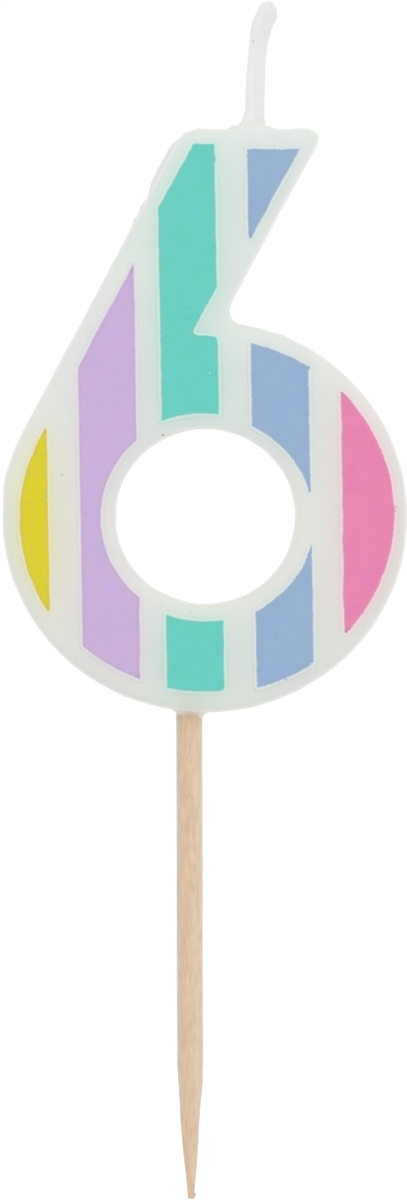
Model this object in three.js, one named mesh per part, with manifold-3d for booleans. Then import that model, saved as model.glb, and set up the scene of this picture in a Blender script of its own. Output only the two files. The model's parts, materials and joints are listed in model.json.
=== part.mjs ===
// Number candle: the numeral 6 cast in white wax, with stripes of coloured film on its front, a waxed
// wick that stands out of its top, and a wooden pick under it that goes into a cake.
//
// Millimetres, +Z up, the printed front faces -Y. The origin is on the pick's axis, level with the
// numeral's lowest point, which comes down onto the cake, and midway through the thickness of the wax.

import * as THREE from "three";
import { mergeVertices } from "three/addons/utils/BufferGeometryUtils.js";
import Module from "manifold-3d";

const wasm = await Module();
wasm.setup();

// The wax numeral
const numeralHeight = 70; // from the cake to the flat top of the stem
const waxThickness = 9; // from the front face to the back face
const bowlWidth = 48.6;
const bowlHeight = 46.95;
const bowlFromPick = 1.8; // the bowl's middle stands this far to the right of the pick
const eyeWidth = 21.65;
const eyeHeight = 21.1;
const eyeOffset = 0.1; // the eye's middle stands this far to the right of the bowl's
const stemTopWidth = 17.05; // across the top, between its two corners as if they were sharp
const leftLean = 28.0; // degrees from upright of the stem's left side
const rightLean = 28.6; // degrees from upright of the stem's right side
const edgeRadius = 1.0; // rounding between the two faces and the rim
const leftCorner = 2.0; // radius of the face's outline at the top left
const rightCorner = 0.2; // the same at the top right
const notchRadius = 1.7; // inner corner where the stem meets the bowl

// The wooden pick
const pickLength = 70;
const pickDiameter = 3;
const pointLength = 15.5; // whittled end
const pointShoulder = 1.5; // part of the whittled end that eases out of the round stick
const pointDiameter = 0.75; // blunt tip
const shoulderEase = 0.4; // the shoulder's slope, as a part of the whittled end's
const tipRounding = 0.15; // blunting of the tip's rim
const pickEndWall = 1.3; // wax between the socket and the eye

// The wick, the same from its tip to its lower end
const wickDiameter = 2.1; // over its coat of wax
const coreDiameter = 0.9; // cotton
const wickEndAngle = 180; // degrees round the bowl from its right side: the wick ends beside the eye
const moundDiameter = 6.6; // wax raised round the wick where it leaves the stem
const moundHeight = 0.6;
const moundRoot = 0.8; // how far the mound reaches down into the stem
const moundShoulder = { across: 0.67, up: 0.6 }; // where its slope steepens, of its radius and height
const moundLip = 0.45; // wax left round the wick's channel at the mound's top

// The wick's free end, chosen by hand: across and up from where it leaves the stem
const freeWick = [
  [0.12, 3.6],
  [0.28, 7.6],
  [0.58, 10.6],
  [1.1, 12.8],
  [2.03, 15.15],
];

// The printed film
const filmThickness = 0.12;
const bowlMargin = { left: 0.75, right: 0.25, top: 0.9, bottom: 1.25 }; // bare face outside the film
const eyeMargin = { left: 1.15, right: 1.3, top: 0.65, bottom: 1.25 }; // bare face round the eye
const stemMargin = { left: 1.1, right: 1.0, top: 1.0 };
const bowlPrintLean = 0.007; // sideways creep of the round outlines for each millimetre of height
const stripeLean = 0.0175; // the same for the stripes' sides
const stripeGap = 3.9; // bare wax between two stripes
const narrowGap = 3.1; // the one gap that is printed narrower, left of the middle stripe
const secondShare = 0.35; // the second stripe's part of the film left of the eye, the first has the rest
const fourthShort = 0.5; // the fourth stripe stops this far short of the right end of the eye's bare border

// Each colour is a film of its own, a little out of register: across and up, in the bowl and in the stem
const films = [
  { names: ["print_yellow"], colour: 0xddd036, bowlShift: [0.33, -0.48] },
  { names: ["print_purple"], colour: 0xcbb0db, bowlShift: [0.37, 0.14], stemShift: [0.37, 0.14] },
  {
    names: ["print_teal_upper", "print_teal_lower"],
    colour: 0x69cec0,
    bowlShift: [-0.28, 0.2],
    stemShift: [-0.28, 0.2],
  },
  {
    names: ["print_blue_top", "print_blue_upper", "print_blue_lower"],
    colour: 0x96b1d1,
    bowlShift: [-0.16, -0.08],
    stemShift: [0.31, -0.4],
  },
  { names: ["print_pink"], colour: 0xe887b2, bowlShift: [-0.25, 0.19] },
];

// Clearance between a piece and the hole that it sits in
const fitGap = 0.3;

// How finely round shapes are cut
const outlineSteps = 64;
const eyeSteps = 40;
const cornerSteps = 5;
const roundSteps = 24;
const wickSides = 10;
const wickSteps = 48;
const routeSteps = 3; // points of the wick's route in each stretch inside the wax
const edgeSteps = 3;
const searchSteps = 50;
const overlap = 1; // how far a cutting shape reaches past what it cuts

const degrees = Math.PI / 180;

// An ellipse in the plane of the numeral, by its middle and its half width and height
const bowl = { x: bowlFromPick, z: bowlHeight / 2, halfWidth: bowlWidth / 2, halfHeight: bowlHeight / 2 };
const eye = { x: bowl.x + eyeOffset, z: bowl.z, halfWidth: eyeWidth / 2, halfHeight: eyeHeight / 2 };

function pointOn(ellipse, angle) {
  return new THREE.Vector2(
    ellipse.x + ellipse.halfWidth * Math.cos(angle),
    ellipse.z + ellipse.halfHeight * Math.sin(angle),
  );
}

function normalOn(ellipse, angle) {
  const normal = new THREE.Vector2(
    Math.cos(angle) / ellipse.halfWidth,
    Math.sin(angle) / ellipse.halfHeight,
  );
  return normal.normalize();
}

function arcOf(ellipse, from, to, steps) {
  return Array.from({ length: steps + 1 }, (_, i) => pointOn(ellipse, from + ((to - from) * i) / steps));
}

// The same ellipse drawn in, or with negative margins let out, by its own margin on each side
function inset(ellipse, margin) {
  return {
    x: ellipse.x + (margin.left - margin.right) / 2,
    z: ellipse.z + (margin.bottom - margin.top) / 2,
    halfWidth: ellipse.halfWidth - (margin.left + margin.right) / 2,
    halfHeight: ellipse.halfHeight - (margin.top + margin.bottom) / 2,
  };
}

// The stem's left side touches the bowl without a corner, at this angle round the bowl
const touchAngle = Math.atan2(
  bowl.halfHeight * Math.sin(leftLean * degrees),
  -bowl.halfWidth * Math.cos(leftLean * degrees),
);
const touch = pointOn(bowl, touchAngle);

function leftSide(z) {
  return touch.x + (z - touch.y) * Math.tan(leftLean * degrees);
}

const topLeft = new THREE.Vector2(leftSide(numeralHeight), numeralHeight);
const topRight = new THREE.Vector2(topLeft.x + stemTopWidth, numeralHeight);

function rightSide(z) {
  return topRight.x - (numeralHeight - z) * Math.tan(rightLean * degrees);
}

function stemMiddle(z) {
  return (leftSide(z) + rightSide(z)) / 2;
}

// A corner between two straight sides, rounded: the points of its arc
function roundCorner(before, corner, after, radius) {
  const back = before.clone().sub(corner).normalize();
  const ahead = after.clone().sub(corner).normalize();
  const halfAngle = Math.acos(back.dot(ahead)) / 2;
  const inward = back.clone().add(ahead).normalize();
  const centre = corner.clone().addScaledVector(inward, radius / Math.sin(halfAngle));
  const start = corner.clone().addScaledVector(back, radius / Math.tan(halfAngle));
  const end = corner.clone().addScaledVector(ahead, radius / Math.tan(halfAngle));
  return arcBetween(centre, start, end);
}

// The short arc about a centre from one point to another
function arcBetween(centre, start, end) {
  const from = start.clone().sub(centre);
  const turn = Math.atan2(from.cross(end.clone().sub(centre)), from.dot(end.clone().sub(centre)));
  return Array.from({ length: cornerSteps + 1 }, (_, i) =>
    start.clone().rotateAround(centre, (turn * i) / cornerSteps),
  );
}

// The notch: a circle that touches the stem's right side and the top of the bowl from outside
const rightNormal = new THREE.Vector2(Math.cos(rightLean * degrees), -Math.sin(rightLean * degrees));

function notchCentre(angle) {
  return pointOn(bowl, angle).addScaledVector(normalOn(bowl, angle), notchRadius);
}

function notchAngleOnBowl() {
  let inside = touchAngle;
  let outside = 0;
  for (let i = 0; i < searchSteps; i += 1) {
    const middle = (inside + outside) / 2;
    const clear = notchCentre(middle).sub(topRight).dot(rightNormal);
    if (clear > notchRadius) outside = middle;
    else inside = middle;
  }
  return inside;
}

const notchAngle = notchAngleOnBowl();

// The numeral's outline: round the bowl from the left side to the notch, then up and round the stem
function numeralOutline() {
  const centre = notchCentre(notchAngle);
  const onBowl = pointOn(bowl, notchAngle);
  const onStem = centre.clone().addScaledVector(rightNormal, -notchRadius);
  return [
    ...arcOf(bowl, touchAngle, notchAngle + 2 * Math.PI, outlineSteps),
    ...arcBetween(centre, onBowl, onStem).slice(1),
    ...roundCorner(onStem, topRight, topLeft, rightCorner + edgeRadius),
    ...roundCorner(topRight, topLeft, touch, leftCorner + edgeRadius),
  ];
}

// A flat shape stood upright, its thickness along Y from one depth to another
function slab(shape, fromY, toY, edge = 0) {
  const geometry = new THREE.ExtrudeGeometry(shape, {
    depth: toY - fromY - 2 * edge,
    bevelEnabled: edge > 0,
    bevelThickness: edge,
    bevelSize: edge,
    bevelOffset: -edge,
    bevelSegments: edgeSteps,
  });
  geometry.translate(0, 0, edge - toY);
  geometry.rotateX(Math.PI / 2);
  return geometry;
}

// A turned shape about the Z axis: its profile gives radius and height, from the bottom up
function turned(profile) {
  const geometry = new THREE.LatheGeometry(
    profile.map(([radius, height]) => new THREE.Vector2(radius, height)),
    roundSteps,
  );
  geometry.rotateX(Math.PI / 2);
  return geometry;
}

// A closed mesh becomes a solid that can be joined and cut, and the other way round
function toSolid(geometry) {
  const bare = geometry.clone();
  bare.deleteAttribute("normal");
  bare.deleteAttribute("uv");
  const merged = mergeVertices(bare);
  const mesh = new wasm.Mesh({
    numProp: 3,
    vertProperties: new Float32Array(merged.attributes.position.array),
    triVerts: new Uint32Array(merged.index.array),
  });
  return new wasm.Manifold(mesh);
}

function toGeometry(solid) {
  const mesh = solid.getMesh();
  const geometry = new THREE.BufferGeometry();
  geometry.setAttribute("position", new THREE.BufferAttribute(new Float32Array(mesh.vertProperties), 3));
  geometry.setIndex(new THREE.BufferAttribute(new Uint32Array(mesh.triVerts), 1));
  geometry.computeVertexNormals();
  return geometry;
}

// The wick's route: up the middle of the bowl's left side, up the middle of the stem, and out at the top
const wickMouth = new THREE.Vector3(stemMiddle(numeralHeight), 0, numeralHeight);

function wickRoute() {
  const middle = {
    x: (bowl.x + eye.x) / 2,
    z: bowl.z,
    halfWidth: (bowl.halfWidth + eye.halfWidth) / 2,
    halfHeight: (bowl.halfHeight + eye.halfHeight) / 2,
  };
  const round = arcOf(middle, wickEndAngle * degrees, touchAngle, routeSteps);
  const stem = Array.from({ length: routeSteps }, (_, i) => {
    const z = THREE.MathUtils.lerp(touch.y, numeralHeight, (i + 1) / (routeSteps + 1));
    return new THREE.Vector2(stemMiddle(z), z);
  });
  const inside = [...round, ...stem].map((point) => new THREE.Vector3(point.x, 0, point.y));
  const outside = freeWick.map(([across, up]) => wickMouth.clone().add(new THREE.Vector3(across, 0, up)));
  return new THREE.CatmullRomCurve3([...inside, wickMouth, ...outside]);
}

// A stretch of a route, from a distance along it to its end
class Stretch extends THREE.Curve {
  constructor(route, from) {
    super();
    this.route = route;
    this.start = from / route.getLength();
  }

  getPoint(t, target = new THREE.Vector3()) {
    return this.route.getPointAt(Math.min(this.start + (1 - this.start) * t, 1), target);
  }
}

function circle(radius) {
  const points = Array.from({ length: wickSides }, (_, i) => {
    const angle = (2 * Math.PI * i) / wickSides;
    return new THREE.Vector2(radius * Math.cos(angle), radius * Math.sin(angle));
  });
  return new THREE.Shape(points);
}

function sweep(section, path) {
  return new THREE.ExtrudeGeometry(section, { steps: wickSteps, extrudePath: path });
}

const route = wickRoute();
const wickPath = new Stretch(route, fitGap);

// The pick's seat: its top end stops below the eye, where the pick's axis passes under it
const eyeBottom = eye.z - eye.halfHeight * Math.sqrt(1 - (eye.x / eye.halfWidth) ** 2);
const socketTop = eyeBottom - pickEndWall;
const pickTop = socketTop - fitGap;

function makeWaxBody() {
  const shape = new THREE.Shape(numeralOutline());
  shape.holes.push(new THREE.Path(arcOf(eye, 0, 2 * Math.PI, eyeSteps).slice(1)));
  const numeral = toSolid(slab(shape, -waxThickness / 2, waxThickness / 2, edgeRadius));

  const mound = turned([
    [0, -moundRoot],
    [moundDiameter / 2, -moundRoot],
    [moundDiameter / 2, 0],
    [(moundDiameter / 2) * moundShoulder.across, moundHeight * moundShoulder.up],
    [wickDiameter / 2 + moundLip, moundHeight],
    [0, moundHeight],
  ]);
  mound.translate(wickMouth.x, 0, wickMouth.z);

  const channel = sweep(circle(wickDiameter / 2 + fitGap), route);

  const socketRadius = pickDiameter / 2 + fitGap;
  const socket = turned([
    [0, -overlap],
    [socketRadius, -overlap],
    [socketRadius, socketTop],
    [0, socketTop],
  ]);

  return toGeometry(
    numeral.add(toSolid(mound)).subtract(toSolid(channel)).subtract(toSolid(socket)),
  );
}

function makePick() {
  const radius = pickDiameter / 2;
  const tipRadius = pointDiameter / 2;
  const shoulder = (radius - tipRadius) * (pointShoulder / pointLength) * shoulderEase;
  return turned([
    [0, 0],
    [tipRadius - tipRounding, 0],
    [tipRadius, tipRounding],
    [radius - shoulder, pointLength - pointShoulder],
    [radius, pointLength],
    [radius, pickLength],
    [0, pickLength],
  ]);
}

function makeWickCoat() {
  const section = circle(wickDiameter / 2);
  section.holes.push(circle(coreDiameter / 2 + fitGap));
  return sweep(section, wickPath);
}

function makeWickCore() {
  return sweep(circle(coreDiameter / 2), wickPath);
}

// Margins measured on the flat part of the face, so that no film reaches onto the rounded edge
function fromRim(margin) {
  return Object.fromEntries(Object.entries(margin).map(([side, size]) => [side, size + edgeRadius]));
}

function negative(margin) {
  return Object.fromEntries(Object.entries(margin).map(([side, size]) => [side, -size]));
}

const bowlPrint = inset(bowl, fromRim(bowlMargin));
const eyePrint = inset(eye, negative(fromRim(eyeMargin)));

// A printed area as a solid as thick as the film, or thicker on both sides where it only cuts
function film(points, [across, up], spare = 0) {
  const moved = points.map((point) => new THREE.Vector2(point.x + across, point.y + up));
  return toSolid(slab(new THREE.Shape(moved), -filmThickness - spare, spare));
}

// An ellipse whose upper half creeps to the left and whose lower half creeps to the right
function leaningEllipse(ellipse) {
  return arcOf(ellipse, 0, 2 * Math.PI, outlineSteps)
    .slice(1)
    .map((point) => new THREE.Vector2(point.x + (ellipse.z - point.y) * bowlPrintLean, point.y));
}

// The printed part of the stem, down to where its left side runs into the bowl
function stemPrint() {
  const margin = fromRim(stemMargin);
  const top = numeralHeight - margin.top;
  const left = margin.left / Math.cos(leftLean * degrees);
  const right = margin.right / Math.cos(rightLean * degrees);
  return [
    new THREE.Vector2(leftSide(touch.y) + left, touch.y),
    new THREE.Vector2(rightSide(touch.y) - right, touch.y),
    new THREE.Vector2(rightSide(top) - right, top),
    new THREE.Vector2(leftSide(top) + left, top),
  ];
}

// The left and right side of each stripe, level with the middle of the printed bowl. Three stripes cross
// the eye, and one lies outside them on each side.
function stripeSides() {
  const rimLeft = bowlPrint.x - bowlPrint.halfWidth;
  const rimRight = bowlPrint.x + bowlPrint.halfWidth;
  const eyeLeft = eyePrint.x - eyePrint.halfWidth;
  const eyeRight = eyePrint.x + eyePrint.halfWidth;
  const start = eyeLeft - secondShare * (eyeLeft - rimLeft - stripeGap);
  const end = eyeRight - fourthShort;
  const width = (end - start - narrowGap - stripeGap) / 3;
  return [
    [rimLeft - overlap, start - stripeGap],
    [start, start + width],
    [start + width + narrowGap, end - width - stripeGap],
    [end - width, end],
    [end + stripeGap, rimRight + overlap],
  ];
}

// A stripe as a leaning band from below the numeral to above it
function stripe([left, right]) {
  const bottom = -overlap;
  const top = numeralHeight + overlap;
  const at = (x, z) => new THREE.Vector2(x + (bowlPrint.z - z) * stripeLean, z);
  return [at(left, bottom), at(right, bottom), at(right, top), at(left, top)];
}

// One colour's film, cut into its separate patches, the highest first
function patchesOf(colourFilm, sides) {
  let printed = film(leaningEllipse(bowlPrint), colourFilm.bowlShift);
  if (colourFilm.stemShift) printed = printed.add(film(stemPrint(), colourFilm.stemShift));
  const bare = film(leaningEllipse(eyePrint), colourFilm.bowlShift, overlap);
  const band = film(stripe(sides), [0, 0], overlap);
  const patches = printed.subtract(bare).intersect(band).decompose();
  const height = (patch) => patch.boundingBox().max[2];
  return patches.sort((a, b) => height(b) - height(a));
}

// Nothing on the candle is metal, so a material is its colour and how dull it is
function finish(color, roughness) {
  return new THREE.MeshStandardMaterial({ color, roughness, metalness: 0 });
}

const wax = finish(0xe1e4dd, 0.45);
const cotton = finish(0xf0ece0, 0.95);
const birch = finish(0xddc2a6, 0.75);
const filmRoughness = 0.5;

function piece(name, geometry, material) {
  const mesh = new THREE.Mesh(geometry, material);
  mesh.name = name;
  return mesh;
}

function makePrint() {
  const face = new THREE.Group();
  const sides = stripeSides();
  films.forEach((colourFilm, index) => {
    const material = finish(colourFilm.colour, filmRoughness);
    patchesOf(colourFilm, sides[index]).forEach((patch, i) => {
      const name = colourFilm.names[i] ?? `${colourFilm.names[0]}_${i + 1}`;
      face.add(piece(name, toGeometry(patch), material));
    });
  });
  face.position.y = -waxThickness / 2;
  return face;
}

const candle = new THREE.Group();
candle.add(piece("wax_body", makeWaxBody(), wax));
candle.add(piece("wick_coat", makeWickCoat(), wax));
candle.add(piece("wick_core", makeWickCore(), cotton));
candle.add(makePrint());

const pick = piece("wooden_pick", makePick(), birch);
pick.position.z = pickTop - pickLength;
candle.add(pick);

export default candle;
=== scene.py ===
# %% [markdown]
# # A number candle
#
# This lesson dresses the CAD model of a birthday candle: the numeral 6 cast in white wax, striped with
# coloured film on its front, with a waxed wick on top and a wooden pick below. The CAD model gives every
# piece its place and size. What it leaves out is what makes the thing look real: the skin of poured wax,
# the burr of the mould, the print's torn little edges, the braid in the wick and the grain of the pick.
#
# Lengths below are in millimetres, as a maker would state them, and turn into metres only when a mesh is
# made. X runs to the right, Z up along the pick, and the printed front faces -Y.

# %% The frame
import json
import math
from collections import namedtuple

import bpy
import numpy as np
from mathutils.geometry import delaunay_2d_cdt
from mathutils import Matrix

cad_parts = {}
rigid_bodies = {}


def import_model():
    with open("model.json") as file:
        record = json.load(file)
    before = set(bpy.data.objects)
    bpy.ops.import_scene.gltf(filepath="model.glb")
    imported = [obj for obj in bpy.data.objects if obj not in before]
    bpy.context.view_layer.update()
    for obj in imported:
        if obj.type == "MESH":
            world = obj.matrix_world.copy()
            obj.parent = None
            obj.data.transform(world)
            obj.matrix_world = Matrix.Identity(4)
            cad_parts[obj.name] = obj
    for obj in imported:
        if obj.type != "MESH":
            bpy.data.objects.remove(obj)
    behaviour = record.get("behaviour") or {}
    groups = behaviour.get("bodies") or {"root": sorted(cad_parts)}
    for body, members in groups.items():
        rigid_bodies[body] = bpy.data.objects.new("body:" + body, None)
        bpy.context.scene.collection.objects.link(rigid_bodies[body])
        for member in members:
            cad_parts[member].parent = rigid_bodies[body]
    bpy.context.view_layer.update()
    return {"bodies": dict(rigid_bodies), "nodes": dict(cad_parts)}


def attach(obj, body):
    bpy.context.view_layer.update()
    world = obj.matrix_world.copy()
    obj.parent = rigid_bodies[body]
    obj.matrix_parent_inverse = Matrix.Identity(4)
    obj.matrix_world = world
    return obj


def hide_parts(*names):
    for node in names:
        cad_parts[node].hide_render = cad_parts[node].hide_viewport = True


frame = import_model()
BODY = next(iter(frame["bodies"]))
print("body:", BODY, "nodes:", sorted(frame["nodes"]))

# %% [markdown]
# ## Sizes
#
# These repeat the named sizes of the CAD source, so that each new surface lands exactly on the solid that
# it stands for. The bowl and the eye are ellipses, given by their middle and their half width and height.

# %% Sizes of the casting
MM = 0.001
Ellipse = namedtuple("Ellipse", "x z a b")

HEIGHT = 70.0
FRONT, BACK = -4.5, 4.5
EDGE = 1.0
BOWL = Ellipse(1.8, 23.475, 24.3, 23.475)
EYE = Ellipse(1.9, 23.475, 10.825, 10.55)
STEM_TOP = 17.05
LEFT_LEAN, RIGHT_LEAN = math.radians(28.0), math.radians(28.6)
LEFT_CORNER, RIGHT_CORNER, NOTCH = 3.0, 1.2, 1.7
COAT_RADIUS, PICK_RADIUS = 1.1, 1.5

touch_angle = math.atan2(BOWL.b * math.sin(LEFT_LEAN), -BOWL.a * math.cos(LEFT_LEAN))
touch = (BOWL.x + BOWL.a * math.cos(touch_angle), BOWL.z + BOWL.b * math.sin(touch_angle))


def left_side(z):
    """The stem's left side: a straight line that leaves the bowl without a corner and leans to the right."""
    return touch[0] + (z - touch[1]) * math.tan(LEFT_LEAN)


TOP_LEFT = left_side(HEIGHT)
TOP_RIGHT = TOP_LEFT + STEM_TOP


def right_side(z):
    """The stem's right side: a straight line down from the top right corner."""
    return TOP_RIGHT - (HEIGHT - z) * math.tan(RIGHT_LEAN)


MOUTH = (left_side(HEIGHT) + right_side(HEIGHT)) / 2
print("the wick leaves the stem at X %.2f, the top runs from %.2f to %.2f" % (MOUTH, TOP_LEFT, TOP_RIGHT))

# %% [markdown]
# ## Irregularity without chance
#
# Poured wax, torn film and turned wood are never quite even. A sum of many sine waves, each with a
# direction, a length and a start of its own, gives a smooth unevenness that is the same on every run,
# because its numbers come from a fixed seed. Short waves make it nervous, long waves make it lazy.

# %% Smooth steps and waves
def smooth_step(low, high, x):
    """0 below low and 1 above high. Between them it is 3 t squared less 2 t cubed, t being the share of
    the way."""
    t = np.clip((x - low) / (high - low), 0.0, 1.0)
    return t * t * (3.0 - 2.0 * t)


def bump_at(distance, width):
    """A soft bump of height 1: e to the power of minus the square of distance over width."""
    return np.exp(-((distance / width) ** 2))


def waves(seed, shortest, longest, count=20):
    """A function of one or two coordinates: the sum of sines of (direction . place / length + start), over
    the root of half their number, which keeps it between about -2 and 2."""
    rng = np.random.default_rng(seed)
    length = np.exp(rng.uniform(math.log(shortest), math.log(longest), count)) / (2 * math.pi)
    turn, start = rng.uniform(0, 2 * math.pi, (2, count))

    def at(x, z=0.0):
        x, z = np.broadcast_arrays(x, z)
        phase = (x[..., None] * np.cos(turn) + z[..., None] * np.sin(turn)) / length + start
        return np.sin(phase).sum(-1) / math.sqrt(count / 2)

    return at


print("waves at three places:", np.round(waves(1, 1, 5)(np.arange(3.0)), 3))

# %% [markdown]
# ## From arrays to a mesh
#
# Every new piece below ends as an array of points and an array of triangles. One helper turns them into
# an object that sits at the origin, rides on the candle's body and stands for the CAD nodes it covers.
# Values that change over the surface, such as a tint, travel with the mesh as attributes.

# %% Meshes and grids
def add_piece(name, points, triangles, stands_for, colours=None, values=None, crease=None):
    """Makes an object from points in millimetres and triangles, smooth shaded, with its attributes."""
    mesh = bpy.data.meshes.new(name)
    mesh.from_pydata(points * MM, [], triangles)
    mesh.polygons.foreach_set("use_smooth", np.ones(len(triangles), bool))
    for key, data in (colours or {}).items():
        shades = np.concatenate([data, np.ones((len(data), 1))], 1).astype(np.float32)
        mesh.attributes.new(key, "FLOAT_COLOR", "POINT").data.foreach_set("color", shades.ravel())
    for key, data in (values or {}).items():
        mesh.attributes.new(key, "FLOAT", "POINT").data.foreach_set("value", data.astype(np.float32))
    mesh.update()
    if crease is not None:
        mesh.set_sharp_from_angle(angle=math.radians(crease))
    piece = bpy.data.objects.new(name, mesh)
    bpy.context.scene.collection.objects.link(piece)
    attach(piece, BODY)
    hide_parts(*stands_for)
    print("%s: %d points, %d triangles" % (name, len(points), len(triangles)))
    return piece


def grid_triangles(columns, rows, first=0):
    """Two triangles for each cell of a grid whose last column joins its first, and whose point (i, j) has
    the number first + i * rows + j."""
    i = np.arange(columns)[:, None]
    j = np.arange(rows - 1)[None, :]
    a = first + i * rows + j
    b = first + ((i + 1) % columns) * rows + j
    corners = np.stack([a, a + 1, b + 1, b], -1).reshape(-1, 4)
    return np.concatenate([corners[:, [0, 1, 2]], corners[:, [0, 2, 3]]])


# %% [markdown]
# ## The numeral's outline
#
# The mould of the real candle is cut along one closed line: round the bowl, through the notch, up the
# right side, over the two corners of the top and down the left side. Straight parts, arcs and an ellipse
# each know which way is out, and the rim of the wax is later carried along them.

# %% Parts of an outline
DENSE = 4000


def unit(ways):
    """Directions, one in each row, made one long."""
    return ways / np.linalg.norm(ways, axis=1, keepdims=True)


def arc_of(e, start, end, outward=1.0):
    """Round an ellipse: (x + a cos t, z + b sin t), with the normal (cos t / a, sin t / b) made one long."""
    t = np.linspace(start, end, DENSE)
    turn = np.stack([np.cos(t), np.sin(t)], 1)
    return turn * (e.a, e.b) + (e.x, e.z), outward * unit(turn / (e.a, e.b))


def straight(start, end):
    """Along a line, with the normal to the right of the way it runs."""
    t = np.linspace(0, 1, DENSE)[:, None]
    way = np.subtract(end, start) / np.linalg.norm(np.subtract(end, start))
    return np.asarray(start) * (1 - t) + np.asarray(end) * t, np.tile([way[1], -way[0]], (DENSE, 1))


def rounded(corner, lean_before, lean_after, radius):
    """An arc that touches two lines through a corner, each given by the angle of its normal. Its middle lies
    radius inside both lines."""
    both = np.array([[math.cos(a), math.sin(a)] for a in (lean_before, lean_after)])
    middle = np.linalg.solve(both, both @ np.asarray(corner) - radius)
    return arc_of(Ellipse(*middle, radius, radius), lean_before, lean_after)


# %% The notch and the whole outline
right_normal = np.array([math.cos(RIGHT_LEAN), -math.sin(RIGHT_LEAN)])
around, outward = arc_of(BOWL, touch_angle, 0.0)
clear = (around + outward * NOTCH - (TOP_RIGHT, HEIGHT)) @ right_normal - NOTCH
meets = int(np.argmax(clear > 0))
notch_angle = touch_angle * (1 - meets / (DENSE - 1))
middle = around[meets] + outward[meets] * NOTCH
notch_from = math.atan2(-outward[meets, 1], -outward[meets, 0]) + 2 * math.pi

top_right = rounded((TOP_RIGHT, HEIGHT), -RIGHT_LEAN, math.pi / 2, RIGHT_CORNER)
top_left = rounded((TOP_LEFT, HEIGHT), math.pi / 2, math.pi - LEFT_LEAN, LEFT_CORNER)
parts = [
    arc_of(BOWL, touch_angle, notch_angle + 2 * math.pi),
    arc_of(Ellipse(*middle, NOTCH, NOTCH), notch_from, math.pi - RIGHT_LEAN, outward=-1.0),
    straight(middle - right_normal * NOTCH, top_right[0][0]),
    top_right,
    straight(top_right[0][-1], top_left[0][0]),
    top_left,
    straight(top_left[0][-1], touch),
]
outline, outline_out = (np.concatenate([part[k] for part in parts]) for k in (0, 1))
outline_length = np.linalg.norm(np.diff(outline, axis=0), axis=1).sum()
print("notch at (%.2f, %.2f), outline %.0f mm long" % (*middle, outline_length))

# %% [markdown]
# The outline is now a dense line. The mesh needs points about a third of a millimetre apart, and closer
# ones where something small sits: round the pick and the wick, and along the burr at the top left.

# %% Walking a line in steps
FINE_STEP, RIM_STEP = 0.14, 0.3


def walk(line, spacing):
    """Steps along a closed dense line, whose rows are a place and what else changes along it: adds up
    length over the wanted spacing, and takes a row each time the sum grows by one."""
    step = np.linalg.norm(np.diff(line[:, :2], axis=0, append=line[:1, :2]), axis=1)
    count = np.concatenate([[0.0], np.cumsum(step / spacing)])
    want = np.linspace(0, count[-1], int(round(count[-1])), endpoint=False)
    closed = np.concatenate([line, line[:1]])
    return np.stack([np.interp(want, count, column) for column in closed.T], 1)


def walk_rim(points, normals, spacing):
    """Steps along a closed dense line, and the normals there."""
    taken = walk(np.concatenate([points, normals], 1), spacing)
    return taken[:, :2], unit(taken[:, 2:])


near_pick = (outline[:, 1] < 2) & (np.abs(outline[:, 0]) < 3.5)
near_wick = (outline[:, 1] > 69) & (np.abs(outline[:, 0] - MOUTH) < 4.2)
near_burr = (outline[:, 1] > 56) & (outline[:, 0] < left_side(outline[:, 1]) + 3.0)
rim_step = np.where(near_pick | near_wick | near_burr, FINE_STEP, RIM_STEP)
rim_points, rim_out = walk_rim(outline, outline_out, rim_step)
ring_line, ring_line_out = arc_of(EYE, 2 * math.pi, 0.0, outward=-1.0)
ring_points, ring_out = walk_rim(ring_line[:-1], ring_line_out[:-1], RIM_STEP)
print("columns round the rim:", len(rim_points), "and round the eye:", len(ring_points))

# %% [markdown]
# ## Filling a flat shape
#
# The front and back of the casting and each film are flat shapes with a curved outline. A grid can't
# fill them without folding, so they get a honeycomb of points, joined into near-equal triangles by a
# constrained Delaunay triangulation that keeps to the outline. Extra rings of points just inside the
# outline give a rounded edge something to bend on.

# %% Points inside an outline
def loop_edges(loops):
    """Pairs of neighbouring points for closed loops that are stored one after the other."""
    first = np.cumsum([0] + [len(loop) for loop in loops[:-1]])
    numbers = [f + np.arange(len(loop)) for f, loop in zip(first, loops)]
    return np.concatenate([np.stack([n, np.roll(n, -1)], 1) for n in numbers])


def loop_normals(loop):
    """Normals of a closed loop, to the right of the way from the point before to the point after."""
    along = np.roll(loop, -1, 0) - np.roll(loop, 1, 0)
    return unit(np.stack([along[:, 1], -along[:, 0]], 1))


def inside(points, loops):
    """True where a ray to the right crosses the loops an odd number of times."""
    edges, line = loop_edges(loops), np.concatenate(loops)
    a, b = line[edges[:, 0]], line[edges[:, 1]]
    x, z = points[:, :1], points[:, 1:]
    level = (a[:, 1] > z) != (b[:, 1] > z)
    rise = np.where(b[:, 1] == a[:, 1], 1.0, b[:, 1] - a[:, 1])
    crossing = a[:, 0] + (z - a[:, 1]) * (b[:, 0] - a[:, 0]) / rise
    return (level & (x < crossing)).sum(1) % 2 == 1


def gap_to(points, line):
    """Distance from each point to the nearest point of a line, a few hundred at a time to spare memory."""
    parts = np.array_split(points, max(1, len(points) // 400))
    return np.concatenate([np.linalg.norm(p[:, None] - line[None], axis=2).min(1) for p in parts])


# An even triangle of side 1 is ROW_RISE high. Points of a ring may come a little nearer to the outline than
# its inset, which lets it turn corners, and the honeycomb keeps off the last ring by a share of its spacing.
ROW_RISE, RING_CLEAR, COMB_CLEAR = 0.866, 0.93, 0.45


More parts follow.
